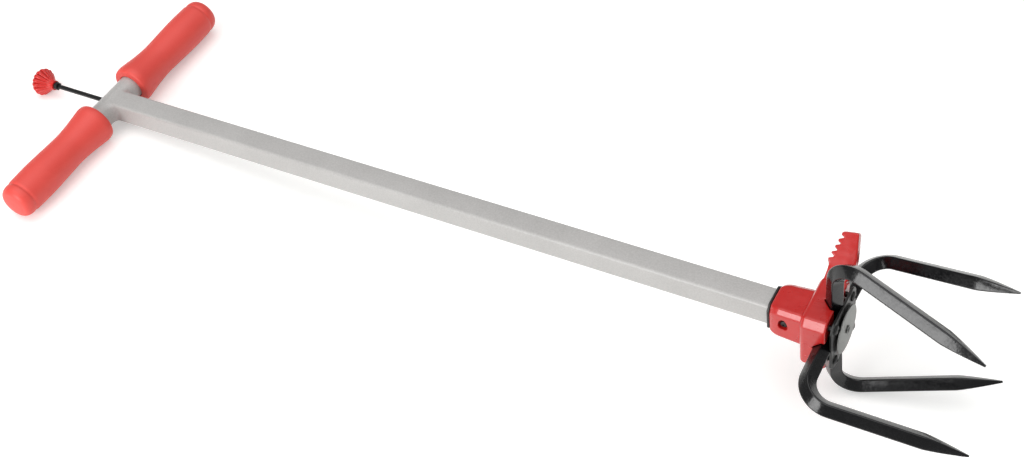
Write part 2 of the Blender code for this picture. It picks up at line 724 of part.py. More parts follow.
def make_socket_screw(tool, black):
    """Screw in the sleeve's recess, on the near face."""
    seat = RECESS_FLOOR + FIT_GAP
    screw = button_screw("socket_screw", SOCKET_SCREW_SHANK, seat - SOCKET_SCREW_END,
                         SOCKET_SCREW_HEAD, SOCKET_SCREW_HEIGHT, SOCKET_SCREW_HEX, black, tool)
    screw.location = (SOCKET_SCREW_PLACE, -seat, 0.0)
    screw.rotation_euler.z = -math.pi / 2
    return screw


# Tines and clamp


def tine_path():
    """Return the tine's centre line as (point, heading, half side, roll) stations.

    The line runs out along the root, round an arc and along the prong.  Over the last
    stretch the bar is drawn down evenly to the point.  The roll changes evenly round
    the arc, from the one that the head's channels give to the prong's own.
    """
    root = (TINE_CORNER_POINT - TINE_HUB).normalized()
    prong = (TINE_TIP - TINE_CORNER_POINT).normalized()
    turn = root.angle(prong)
    setback = TINE_BEND_RADIUS * math.tan(turn / 2)
    arc_start = TINE_CORNER_POINT - root * setback
    inward = (prong - root * prong.dot(root)).normalized()
    stations = [(TINE_HUB, root, TINE_HALF, TINE_ROOT_ROLL)]
    for step in range(TINE_BEND_STEPS + 1):
        share = step / TINE_BEND_STEPS
        angle = turn * share
        roll = TINE_ROOT_ROLL + (TINE_PRONG_ROLL - TINE_ROOT_ROLL) * share
        point = arc_start + TINE_BEND_RADIUS * (
            root * math.sin(angle) + inward * (1.0 - math.cos(angle))
        )
        heading = root * math.cos(angle) + inward * math.sin(angle)
        stations.append((point, heading, TINE_HALF, roll))
    for step in range(TINE_POINT_STEPS + 1):
        along = step / TINE_POINT_STEPS
        point = TINE_TIP - prong * TINE_POINT_LENGTH * (1.0 - along)
        half = TINE_HALF + (TINE_POINT_HALF - TINE_HALF) * along ** TINE_POINT_BULGE
        stations.append((point, prong, half, TINE_PRONG_ROLL))
    return stations


def make_tine_mesh():
    """Carry a rounded square section along the tine's centre line, rolled at each station."""
    shape = bmesh.new()
    rings = []
    stations = tine_path()
    heading = stations[0][1]
    across = (Z_AXIS - heading * Z_AXIS.dot(heading)).normalized()
    for point, ahead, half, roll in stations:
        across.rotate(heading.rotation_difference(ahead))
        heading = ahead
        outer = across.cross(heading).normalized()
        first = outer * math.cos(roll) + across * math.sin(roll)
        second = across * math.cos(roll) - outer * math.sin(roll)
        section = rounded_square(half, TINE_CORNER * half / TINE_HALF, TINE_CORNER_STEPS)
        rings.append([point + first * y + second * z for y, z in section])
    skin_rings(shape, rings)
    return finish_mesh("tine", shape, SMOOTH_ANGLE)


def make_clamp_plate(tool, black):
    """Plate over the tine roots, grooved behind, with holes for the rod and the bolts."""
    shape = bmesh.new()
    outline = chamfered_square(PLATE_HALF, PLATE_CHAMFER)
    eased = chamfered_square(PLATE_HALF - PLATE_EASE, PLATE_CHAMFER)
    skin_rings(shape, [
        section_ring(PLATE_BACK, outline), section_ring(PLATE_FRONT - PLATE_EASE, outline),
        section_ring(PLATE_FRONT, eased),
    ])
    plate = make_object("clamp_plate", finish_mesh("clamp_plate", shape, CAST_SMOOTH_ANGLE), black, tool)

    peak = TINE_HUB.x + CHANNEL_HALF_WIDTH + GROOVE_SLACK
    open_place = PLATE_BACK - CUT_MARGIN
    open_half, floor_half = peak - open_place, peak - PLATE_GROOVE_FLOOR
    groove = [
        (open_place, open_half), (PLATE_GROOVE_FLOOR, floor_half),
        (PLATE_GROOVE_FLOOR, -floor_half), (open_place, -open_half),
    ]
    for name, along in (("groove_y_guide", Y_AXIS), ("groove_z_guide", Z_AXIS)):
        mesh = cross_prism_mesh(name, groove, along, CHANNEL_HALF_LENGTH)
        boolean(plate, make_object(name, mesh, black, tool), "DIFFERENCE")

    start, end = PLATE_BACK - CUT_MARGIN, PLATE_FRONT + CUT_MARGIN
    centre = prism_mesh("plate_bore_guide", circle(PLATE_BORE, SMALL_STEPS), start, end)
    boolean(plate, make_object("plate_bore_guide", centre, black, tool), "DIFFERENCE")
    cut_bolt_holes(plate, "plate_hole_guide", start, end, black, tool)
    return plate


def make_clamp_bolts(tool, black):
    """Four button-head bolts through the plate into the casting's corners."""
    seat = PLATE_FRONT + FIT_GAP
    length = seat - HEAD_BOLT_DEPTH - BOLT_END_GAP
    for index in range(TINE_COUNT):
        bolt = button_screw("clamp_bolt_%d" % (index + 1), BOLT_SHANK, length, BOLT_HEAD,
                            BOLT_HEAD_HEIGHT, BOLT_HEX, black, tool)
        place_bolt(bolt, index)
        bolt.location.x = seat


# Resting place


def world_points(items):
    """Return every evaluated vertex of some objects in world space, one row each."""
    graph = bpy.context.evaluated_depsgraph_get()
    points = []
    for item in items:
        shown = item.evaluated_get(graph)
        mesh = shown.to_mesh()
        local = np.empty(len(mesh.vertices) * 3)
        mesh.vertices.foreach_get("co", local)
        matrix = np.array(shown.matrix_world)
        points.append(local.reshape(-1, 3) @ matrix[:3, :3].T + matrix[:3, 3])
        shown.to_mesh_clear()
    return np.vstack(points)


def lowest_after_tilt(points, tilt):
    """Return the lowest point once the tool's head is raised by an angle."""
    heights = points[:, 2] * math.cos(tilt) + points[:, 0] * math.sin(tilt)
    index = int(np.argmin(heights))
    forward = points[index, 0] * math.cos(tilt) - points[index, 2] * math.sin(tilt)
    return forward, heights[index]


def lay_on_floor(tool, grips, tines):
    """Tilt and lift the tool until grips and lowest tine touch the floor below its centre."""
    bpy.context.view_layer.update()
    grip_points = world_points(grips)
    tine_points = world_points(tines)
    tilt = 0.0
    for _ in range(TILT_ROUNDS):
        grip_place, grip_height = lowest_after_tilt(grip_points, tilt)
        tine_place, tine_height = lowest_after_tilt(tine_points, tilt)
        tilt += (grip_height - tine_height) / (tine_place - grip_place)
    tool.rotation_euler.y = -tilt
    bpy.context.view_layer.update()
    shown = [item for item in bpy.data.objects if item.type == "MESH" and not item.hide_render]
    points = world_points(shown)
    low, high = points.min(axis=0), points.max(axis=0)
    tool.location = (-(low[0] + high[0]) / 2, -(low[1] + high[1]) / 2, -low[2])
    bpy.context.view_layer.update()
    print("tilt in degrees", math.degrees(tilt), "place", tuple(tool.location))


def main():
    """Build the whole tool and lay it on the floor."""
    clear_scene()
    silver = make_finish("silver_grey_paint", (0.50, 0.50, 0.48), 0.42)
    grip_red = make_finish("red_grip_plastic", (0.62, 0.075, 0.062), 0.50)
    cast_red = make_finish("red_gloss_enamel", (0.60, 0.030, 0.030), 0.22)
    black = make_finish("black_enamel", (0.010, 0.010, 0.011), 0.25)
    dark_plastic = make_finish("black_nylon", (0.014, 0.014, 0.014), 0.45)
    zinc = make_finish("zinc_plated_steel", (0.42, 0.43, 0.42), 0.38, 0.9)

    tool = bpy.data.objects.new("tool_axis", None)
    ejector = bpy.data.objects.new("ejector_axis", None)
    for empty in (tool, ejector):
        bpy.context.scene.collection.objects.link(empty)
    ejector.parent = tool

    make_shaft_tube(tool, silver)
    make_handle_bar(tool, silver)
    make_weld(tool, silver)
    grips = [make_grip("grip_near", -1.0, tool, grip_red), make_grip("grip_far", 1.0, tool, grip_red)]
    make_guide_top(tool, dark_plastic)
    make_guide_bottom(tool, dark_plastic)

    make_foot_socket(tool, cast_red)
    make_collar(tool, dark_plastic)
    make_socket_screw(tool, black)
    tine_mesh = make_tine_mesh()
    tines = []
    for index in range(TINE_COUNT):
        tine = make_object("tine_%d" % (index + 1), tine_mesh, black, tool)
        tine.rotation_euler.x = index * math.pi / 2
        tines.append(tine)
    make_clamp_plate(tool, black)
    make_clamp_bolts(tool, black)

    make_rod(ejector, black)
    make_knob(ejector, grip_red)
    make_nut("knob_nut", KNOB_NUT_FLATS, KNOB_NUT_BACK, KNOB_NUT_FRONT, ejector, dark_plastic)
    make_disc(ejector, zinc)
    collar_front = DISC_BACK - FIT_GAP
    make_nut("disc_collar", DISC_COLLAR_FLATS, collar_front - DISC_COLLAR_HEIGHT, collar_front,
             ejector, zinc)
    make_disc_nut(ejector, zinc)
    lay_on_floor(tool, grips, tines)


main()
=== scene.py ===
"""Looks of a garden cultivator: painted tube, moulded grips, an enamelled casting and tines.

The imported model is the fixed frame.  Each new surface is worked out in the tool's own axes,
where +X runs from the handle to the points and +Y along the handle, and is then laid into
the frame where the model lies.  Lengths are metres.
"""
import json
import logging
import math
from dataclasses import dataclass
from enum import Enum
from typing import Any, Mapping, Sequence

import bmesh
import bpy
import numpy as np
from bpy.types import ID, Material, Mesh, Node, NodeSocket, NodeTree, Object
from mathutils import Matrix, Vector
from numpy.typing import ArrayLike


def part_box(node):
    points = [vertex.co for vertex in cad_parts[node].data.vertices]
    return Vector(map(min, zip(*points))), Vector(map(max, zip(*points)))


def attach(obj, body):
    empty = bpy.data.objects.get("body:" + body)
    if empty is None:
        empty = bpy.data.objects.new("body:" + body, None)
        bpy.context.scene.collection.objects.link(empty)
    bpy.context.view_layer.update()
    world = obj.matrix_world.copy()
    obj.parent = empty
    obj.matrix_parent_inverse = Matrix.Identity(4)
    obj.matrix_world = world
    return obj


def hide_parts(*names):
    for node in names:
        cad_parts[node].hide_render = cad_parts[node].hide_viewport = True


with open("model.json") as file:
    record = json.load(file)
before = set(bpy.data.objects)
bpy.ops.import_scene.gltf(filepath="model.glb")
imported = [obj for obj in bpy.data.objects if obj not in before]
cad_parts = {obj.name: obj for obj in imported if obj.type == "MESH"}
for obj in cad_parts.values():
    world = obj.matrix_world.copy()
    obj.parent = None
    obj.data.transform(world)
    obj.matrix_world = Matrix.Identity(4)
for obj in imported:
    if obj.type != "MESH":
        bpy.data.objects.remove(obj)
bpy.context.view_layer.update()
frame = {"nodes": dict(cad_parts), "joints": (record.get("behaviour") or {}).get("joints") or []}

LOG = logging.getLogger("cultivator")
MERGE_DISTANCE = 1e-6
FLAT_DISTANCE = 1e-7
QUARTERS = np.arange(4) * np.pi / 2

# Sizes that several pieces share; a cutter runs past what it cuts by the overcut
GAP = 0.0003
OVERCUT = 0.004
SHAFT_HALF = 0.0125
SHAFT_CORNER = 0.003
BAR_RADIUS = 0.014
ROD_BORE = 0.0029
TINE_HALF = 0.0060
HUB_PLACE = 0.8480
BOLT_CIRCLE = 0.0295
LOCK_SCREW_PLACE = 0.8075
DISC_BACK = 0.8596
DISC_THICKNESS = 0.0013

# Types of the classes' sizes; stations are rows of measures, such as a profile's corners
Pair = tuple[float, float]
Triple = tuple[float, float, float]
Stations = tuple[tuple[float, ...], ...]


class Ends(Enum):
    """How the first and last rings of a skin are finished."""

    CAPPED = "capped"
    JOINED = "joined"


class Axis(Enum):
    """The line that a turned piece is spun about."""

    SHAFT = "shaft"
    HANDLE = "handle"


class Body(Enum):
    """The two rigid bodies of the tool."""

    FRAME = "frame"
    EJECTOR = "ejector"


class Operation(Enum):
    """What tools do to a solid."""

    JOIN = "UNION"
    CUT = "DIFFERENCE"


# Axes and objects


def laid(first: ArrayLike, second: ArrayLike, third: ArrayLike, place: ArrayLike) -> Matrix:
    """Return the 4 by 4 matrix that has these three axes and this place as its columns."""
    columns = np.stack([first, second, third, place], axis=1)
    return Matrix([*columns.tolist(), (0.0, 0.0, 0.0, 1.0)])


def linked(name: str, data: ID) -> Object:
    """Make an object and put it in the scene.

    Args:
        name: The object's name.
        data: Its mesh, lamp or camera.

    Returns:
        The object.
    """
    item = bpy.data.objects.new(name, data)
    bpy.context.scene.collection.objects.link(item)
    return item


def tool_axes() -> Matrix:
    """Read the tool's own axes from the ejector's slide and the middle of its disc.

    Returns:
        The matrix from the tool's axes to the frame.
    """
    along = np.array(frame["joints"][0]["axis"], dtype=float)
    along /= np.linalg.norm(along)
    up = np.array([-along[2], 0.0, along[0]])
    middle = np.mean(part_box("ejector_disc"), axis=0)
    return laid(along, (0.0, 1.0, 0.0), up, middle - along * (DISC_BACK + DISC_THICKNESS / 2))


AXES = tool_axes()


# Surfaces


def skin_mesh(rings: np.ndarray, ends: Ends = Ends.CAPPED) -> Mesh:
    """Make a closed mesh from rings of points.

    Ring i, point j joins ring i + 1, point j + 1 with one four-sided face; the last point
    of a ring joins the first.  Rings of no radius close to a pole when doubles are merged.

    Args:
        rings: Points as an array of rings, points and three coordinates.
        ends: Whether the end rings are capped or joined to each other.

    Returns:
        The mesh, with its faces pointing out.
    """
    count, around = rings.shape[:2]
    rows = np.arange(count if ends is Ends.JOINED else count - 1)
    columns = np.arange(around)
    row, column = np.meshgrid(rows, columns, indexing="ij")
    below, above = row * around, (row + 1) % count * around
    after = (column + 1) % around
    quads = np.stack([below + column, below + after, above + after, above + column], axis=-1)
    faces = quads.reshape(-1, 4).tolist()
    if ends is Ends.CAPPED:
        faces += [columns[::-1].tolist(), (columns + (count - 1) * around).tolist()]
    mesh = bpy.data.meshes.new("skin")
    mesh.from_pydata(rings.reshape(-1, 3).tolist(), [], faces)
    shape = bmesh.new()
    shape.from_mesh(mesh)
    bmesh.ops.remove_doubles(shape, verts=shape.verts, dist=MERGE_DISTANCE)
    bmesh.ops.dissolve_degenerate(shape, dist=FLAT_DISTANCE, edges=shape.edges)
    bmesh.ops.recalc_face_normals(shape, faces=shape.faces)
    shape.to_mesh(mesh)
    shape.free()
    return mesh


def turned(profile: np.ndarray, around: int, axis: Axis = Axis.SHAFT, side: float = 1.0) -> np.ndarray:
    """Spin a profile about an axis.

    Each row becomes a ring: its place along the axis, and its radius times the cosine and
    the sine of the angle across it.

    Args:
        profile: Rows of place and radius, or of place and a radius for each point.
        around: Points in each ring.
        axis: The line it is spun about.
        side: -1 to mirror the places to the axis's negative side.

    Returns:
        The rings of points.
    """
    angle = np.linspace(0.0, 2.0 * np.pi, around, endpoint=False)
    place = np.repeat(side * profile[:, :1], around, axis=1)
    first = profile[:, 1:] * np.cos(angle)
    second = profile[:, 1:] * np.sin(angle)
    if axis is Axis.SHAFT:
        return np.stack([place, first, second], axis=-1)
    return np.stack([first, place, second], axis=-1)


def band(start: float, end: float, inner: float, outer: float) -> np.ndarray:
    """Return a profile that goes out, along the outer radius and back in."""
    return np.array([(start, inner), (start, outer), (end, outer), (end, inner)])


def between(start: ArrayLike, end: ArrayLike, shares: np.ndarray) -> np.ndarray:
    """Return a row for each share of the way from start to end."""
    return start + (end - start) * shares[:, None]


def parabola(start: np.ndarray, corner: np.ndarray, end: np.ndarray, t: np.ndarray) -> np.ndarray:
    """Return the parabola from start to end that has the corner as its control point."""
    return (1 - t) ** 2 * start + 2 * t * (1 - t) * corner + t**2 * end


def eased(corners: ArrayLike, reach: float) -> np.ndarray:
    """Round the corners of an open profile.

    Each inner corner gives way to a parabola that starts and ends its reach away along
    the two sides that meet there, or just short of half a side that is too short.

    Args:
        corners: The profile's corner points.
        reach: How far each inner corner's curve reaches.

    Returns:
        The eased profile, its first and last points kept.
    """
    points = np.array(corners, dtype=float)
    corner = points[1:-1]
    ends = []
    for side in (points[:-2] - corner, points[2:] - corner):
        length = np.linalg.norm(side, axis=1, keepdims=True)
        ends.append((corner + side / length * np.minimum(reach, length * 0.49))[:, None])
    t = np.linspace(0.0, 1.0, 6)[None, :, None]
    curve = parabola(ends[0], corner[:, None], ends[1], t)
    return np.vstack([points[:1], curve.reshape(-1, points.shape[1]), points[-1:]])


def flowing(stations: ArrayLike, steps: int) -> np.ndarray:
    """Lay a Catmull-Rom curve through stations.

    Each span is the cubic whose end slopes are half the step between the neighbours.

    Args:
        stations: Points that the curve goes through.
        steps: Points in each span.

    Returns:
        The curve's points, the last station included.
    """
    points = np.array(stations, dtype=float)
    padded = np.vstack([2 * points[0] - points[1], points, 2 * points[-1] - points[-2]])[:, None]
    before, first, second, after = padded[:-3], padded[1:-2], padded[2:-1], padded[3:]
    t = np.linspace(0.0, 1.0, steps, endpoint=False)[None, :, None]
    bend = 2 * before - 5 * first + 4 * second - after
    turn = 3 * first - before - 3 * second + after
    curve = 0.5 * (2 * first + (second - before) * t + bend * t**2 + turn * t**3)
    return np.vstack([curve.reshape(-1, points.shape[1]), points[-1:]])


def rounded_square(half: float, corner: float, steps: int = 8) -> np.ndarray:
    """Make a square outline whose corners are quarter circles.

    Args:
        half: Half its side.
        corner: The corners' radius.
        steps: Spans in each corner.

    Returns:
        Rows of y and z.
    """
    quarter = np.repeat(QUARTERS, steps + 1)
    angle = quarter + np.tile(np.linspace(0.0, np.pi / 2, steps + 1), 4)
    middle = quarter + np.pi / 4
    inset = (half - corner) * math.sqrt(2.0)
    centre = inset * np.stack([np.cos(middle), np.sin(middle)], axis=1)
    return centre + corner * np.stack([np.cos(angle), np.sin(angle)], axis=1)


def chamfered_square(half: np.ndarray, chamfer: np.ndarray, ease: float, lean: float = 0.0) -> np.ndarray:
    """Make square outlines with chamfered corners whose own edges are eased.

    One corner is two parabolas, each with an end of the chamfer as its control point;
    the other three are that corner turned by quarter turns.  A lean lengthens the cut
    along one side by its share and shortens it along the other.

    Args:
        half: Half side of each outline.
        chamfer: How far each chamfer cuts along a side.
        ease: Reach of the easing along side and chamfer.
        lean: Share by which the chamfers lean over.

    Returns:
        An array of outlines, points and the two coordinates y and z.
    """
    half, chamfer = half[:, None], chamfer[:, None]
    t = np.linspace(0.0, 1.0, 5)[None, :]
    short, long = chamfer * (1.0 - lean), chamfer * (1.0 + lean)
    slant_y, slant_z = (cut * ease / np.hypot(short, long) for cut in (long, short))
    y = np.hstack([half - t**2 * slant_y, half - long + (1 - t) ** 2 * slant_y - t**2 * ease])
    z = np.hstack([half - short - (1 - t) ** 2 * ease + t**2 * slant_z, half - (1 - t) ** 2 * slant_z])
    turns = [(y, z), (-z, y), (-y, -z), (z, -y)]
    return np.concatenate([np.stack(turn, axis=-1) for turn in turns], axis=1)


def along_shaft(places: np.ndarray, outlines: np.ndarray) -> np.ndarray:
    """Stand outlines of y and z at places along the shaft.

    Args:
        places: One place for each ring, or one for each point of each ring.
        outlines: Rows of y and z for every ring, or one outline that all rings share.

    Returns:
        The rings of points.
    """
    outlines = np.broadcast_to(outlines, (len(places), *outlines.shape[-2:]))
    places = np.broadcast_to(places.reshape(len(places), -1), outlines.shape[:2])
    return np.concatenate([places[..., None], outlines], axis=-1)


def bolt_offsets() -> np.ndarray:
    """Return the four bolts' places across the shaft, one in each quarter."""
    angle = np.pi / 4 + QUARTERS
    return BOLT_CIRCLE * np.stack([0.0 * angle, np.cos(angle), np.sin(angle)], axis=1)


def modified(mesh: Mesh, *changes: tuple[str, Mapping[str, Any]]) -> Mesh:
    """Apply modifiers to a mesh.

    Args:
        mesh: The mesh, which stays as it is.
        changes: Each modifier's kind and its settings.

    Returns:
        A new mesh.
    """
    item = linked("modified", mesh)
    for kind, settings in changes:
        modifier = item.modifiers.new(kind, kind)
        for name, value in settings.items():
            setattr(modifier, name, value)
    bpy.context.view_layer.update()
    result = bpy.data.meshes.new_from_object(item.evaluated_get(bpy.context.evaluated_depsgraph_get()))
    bpy.data.objects.remove(item)
    return result


def combined(target: Mesh, tools: Sequence[Mesh], operation: Operation) -> Mesh:
    """Join tools on to a mesh or cut them out of it, one after another.

    Args:
        target: The mesh.
        tools: Closed meshes.
        operation: What the tools do.

    Returns:
        A new mesh.
    """
    guides = [linked("tool", tool) for tool in tools]
    steps = [("BOOLEAN", {"operation": operation.value, "object": guide}) for guide in guides]
    result = modified(target, *steps)
    for guide in guides:
        bpy.data.objects.remove(guide)
    return result


# Finishes

# Noise seldom leaves these levels, which are stretched to the whole range of what it drives
FINE_LEVELS = {"From Min": 0.35, "From Max": 0.65}
BROAD_LEVELS = {"From Min": 0.3, "From Max": 0.7}
# The numbers of a Mix node's two colour inputs and of its colour output
MIX_FIRST, MIX_SECOND, MIX_OUT = 6, 7, 2


def linear(colour: str) -> tuple[float, float, float, float]:
    """Turn an sRGB hex colour to linear light, by the sRGB curve.

    Args:
        colour: A hash and six hex digits.

    Returns:
        Linear red, green and blue, and full alpha.
    """
    values = np.array([int(colour[i:i + 2], 16) for i in (1, 3, 5)]) / 255.0
    low, high = values / 12.92, ((values + 0.055) / 1.055) ** 2.4
    return *np.where(values <= 0.04045, low, high).tolist(), 1.0


def add_node(
    tree: NodeTree, kind: str, settings: Mapping[str | int, Any] | None = None,
    links: Mapping[str | int, NodeSocket] | None = None,
) -> Node:
    """Add a node, with its settings and the sockets that feed it.

    Args:
        tree: The node tree.
        kind: The node's type name.
        settings: Lower-case names are the node's properties, others and numbers its inputs.
        links: Inputs, by name or number, and the output sockets that feed them.

    Returns:
        The node.
    """
    node = tree.nodes.new(kind)
    for name, value in (settings or {}).items():
        if str(name)[0].islower():
            setattr(node, name, value)
        else:
            node.inputs[name].default_value = value
    for name, source in (links or {}).items():
        tree.links.new(source, node.inputs[name])
    return node


@dataclass(frozen=True)
class Finish:
    """A surface finish: a base colour that drifts between two shades, with a fine relief.

    The relief is noise at the grain's size, over a wave where there is one.  The shade and
    the roughness follow a broader noise of the drift's size, to which the fleck's share of
    the fine noise is added.
    """

    name: str
    slot: str
    shades: tuple[str, str]
    roughness: Pair
    grain: float
    relief: float
    drift: float = 0.03
    fleck: float = 0.0
    metallic: float = 0.0
    coat: float = 0.0
    coat_roughness: float = 0.05
    ior: float = 1.5
    stretch: Triple = (1.0, 1.0, 1.0)
    wave: float = 0.0
    wave_size: float = 0.02

    def material(self) -> Material:
        """Make the finish's material, the first time that it is asked for.

        Returns:
            The material.
        """
        known = bpy.data.materials.get(self.name)
        if known:
            return known
        made = bpy.data.materials.new(self.name)
        made.use_nodes = True
        tree = made.node_tree
        shader = tree.nodes["Principled BSDF"]
        shader.inputs["Metallic"].default_value = self.metallic
        if self.metallic == 0.0:
            shader.inputs["IOR"].default_value = self.ior
        shader.inputs["Coat Weight"].default_value = self.coat
        shader.inputs["Coat Roughness"].default_value = self.coat_roughness
        place = add_node(tree, "ShaderNodeTexCoord").outputs["Object"]
        stretched = add_node(tree, "ShaderNodeMapping", {"Scale": self.stretch}, {"Vector": place})
        broad = add_node(
            tree, "ShaderNodeTexNoise", {"Scale": 1.0 / self.drift, "Detail": 3.0, "Roughness": 0.55},
            {"Vector": place})
        fine = add_node(
            tree, "ShaderNodeTexNoise", {"Scale": 1.0 / self.grain, "Detail": 2.0},
            {"Vector": stretched.outputs["Vector"]}).outputs["Fac"]
        flecked = add_node(
            tree, "ShaderNodeMapRange",
            FINE_LEVELS | {"To Min": -self.fleck / 2, "To Max": self.fleck / 2}, {"Value": fine})
        share = add_node(
            tree, "ShaderNodeMath", {"operation": "ADD", "use_clamp": True},
            {0: broad.outputs["Fac"], 1: flecked.outputs["Result"]}).outputs[0]
        first, second = (linear(shade) for shade in self.shades)
        shade = add_node(
            tree, "ShaderNodeMix", {"data_type": "RGBA", MIX_FIRST: first, MIX_SECOND: second},
            {"Factor": share})
        low, high = self.roughness
        rough = add_node(
            tree, "ShaderNodeMapRange", BROAD_LEVELS | {"To Min": low, "To Max": high}, {"Value": share})
        bump = add_node(tree, "ShaderNodeBump", {"Distance": self.relief}, {"Height": fine})
        if self.wave:
            wide = add_node(
                tree, "ShaderNodeTexNoise", {"Scale": 1.0 / self.wave_size, "Detail": 1.0}, {"Vector": place})
            bump = add_node(
                tree, "ShaderNodeBump", {"Distance": self.wave},
                {"Height": wide.outputs["Fac"], "Normal": bump.outputs["Normal"]})
        tree.links.new(shade.outputs[MIX_OUT], shader.inputs["Base Color"])
        tree.links.new(rough.outputs["Result"], shader.inputs["Roughness"])
        tree.links.new(bump.outputs["Normal"], shader.inputs["Normal"])
        return made


# Polyester powder coat baked on steel tube: satin, with a faint orange peel of 1 to 2 mm
POWDER_COAT = Finish(
    "silver_powder_coat", "silver_grey_paint", ("#ADABA9", "#BDBBB9"),
    roughness=(0.34, 0.44), grain=0.0016, relief=0.000014, drift=0.05, fleck=0.6, coat=0.25,
    coat_roughness=0.20,
)
# Injection-moulded polypropylene off a spark-eroded tool: matte, with a soft sheen; its
# grain of about 0.1 mm is drawn coarser, so that it shows
GRIP_PLASTIC = Finish(
    "red_moulded_polypropylene", "red_grip_plastic", ("#E24A42", "#EA544B"),
    roughness=(0.40, 0.52), grain=0.0009, relief=0.00003, fleck=0.4, ior=1.49,
)
# The same plastic off a polished tool: the knob is shinier than the grips
KNOB_PLASTIC = Finish(
    "red_knob_plastic", "red_grip_plastic", ("#CE241F", "#D62B25"),
    roughness=(0.26, 0.34), grain=0.0015, relief=0.00001, drift=0.01, ior=1.49,
)
# Stoved enamel on a sand casting: wet gloss over the casting's slow waves
CAST_ENAMEL = Finish(
    "red_stoved_enamel", "red_gloss_enamel", ("#B91B18", "#C4211E"),
    roughness=(0.24, 0.34), grain=0.0016, relief=0.00001, drift=0.02, coat=0.45,
    coat_roughness=0.10, ior=1.46, wave=0.0006, wave_size=0.012,
)
# Black enamel dipped on forged bar: deep gloss over scale and the hammer's shallow waves
TINE_ENAMEL = Finish(
    "black_dipped_enamel", "black_enamel", ("#08080A", "#0E0E10"),
    roughness=(0.15, 0.25), grain=0.0022, relief=0.00010, fleck=0.45, coat=0.12,
    coat_roughness=0.08, ior=1.46, wave=0.0005, wave_size=0.018,
)
# Black oxide on drawn rod: darker and duller than the enamel; the fine marks that the die
# leaves run lengthways, and are drawn coarser than real
ROD_BLACK = Finish(
    "black_drawn_rod", "black_enamel", ("#090909", "#0E0E0E"),
    roughness=(0.30, 0.40), grain=0.0008, relief=0.000008, stretch=(0.08, 1.0, 1.0),
)
# Black oxide on rolled plate and on screws: nearly matte, with a cloudy dark bloom; its
# fine grain is drawn coarser than real
BLACK_OXIDE = Finish(
    "black_oxide_steel", "black_enamel", ("#0A0A0A", "#121211"),
    roughness=(0.34, 0.46), grain=0.0010, relief=0.00001, drift=0.012,
)
# Moulded nylon: black, faintly glossy; its fine texture is drawn coarser than real
NYLON = Finish(
    "black_moulded_nylon", "black_nylon", ("#0E0E0E", "#141413"),
    roughness=(0.34, 0.44), grain=0.0010, relief=0.00001, drift=0.01, ior=1.53,
)
# Zinc plate on pressed and turned steel: pale grey, softly clouded
ZINC = Finish(
    "zinc_plated_steel_surface", "zinc_plated_steel", ("#767775", "#949593"),
    roughness=(0.36, 0.52), grain=0.0014, relief=0.00003, drift=0.006, fleck=0.8, metallic=1.0,
)


# Placing pieces


def add_piece(
    name: str, mesh: Mesh, finish: Finish, stands_for: str, body: Body = Body.FRAME, sharp: float = 35.0,
) -> None:
    """Lay a mesh into the frame as a piece of a body.

    Args:
        name: The piece's name.
        mesh: Its mesh, in the tool's axes.
        finish: Its finish.
        stands_for: The CAD node that it replaces.
        body: The body it rides on.
        sharp: Edges sharper than this many degrees stay sharp in shading.
    """
    mesh.transform(AXES)
    mesh.shade_smooth()
    mesh.set_sharp_from_angle(angle=math.radians(sharp))
    mesh.materials.clear()
    mesh.materials.append(finish.material())
    item = linked(name, mesh)
    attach(item, body.value)
    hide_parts(stands_for)
    LOG.info("%s: %d faces on %s", name, len(mesh.polygons), body.value)


def dress_node(node: str, finish: Finish) -> None:
    """Give a CAD node that stays shown its finish.

    Args:
        node: The CAD node.
        finish: Its finish.
    """
    item = frame["nodes"][node]
    item.data.materials.clear()
    item.data.materials.append(finish.material())
    LOG.info("%s: CAD solid in %s", node, finish.name)


# Shaft and handle


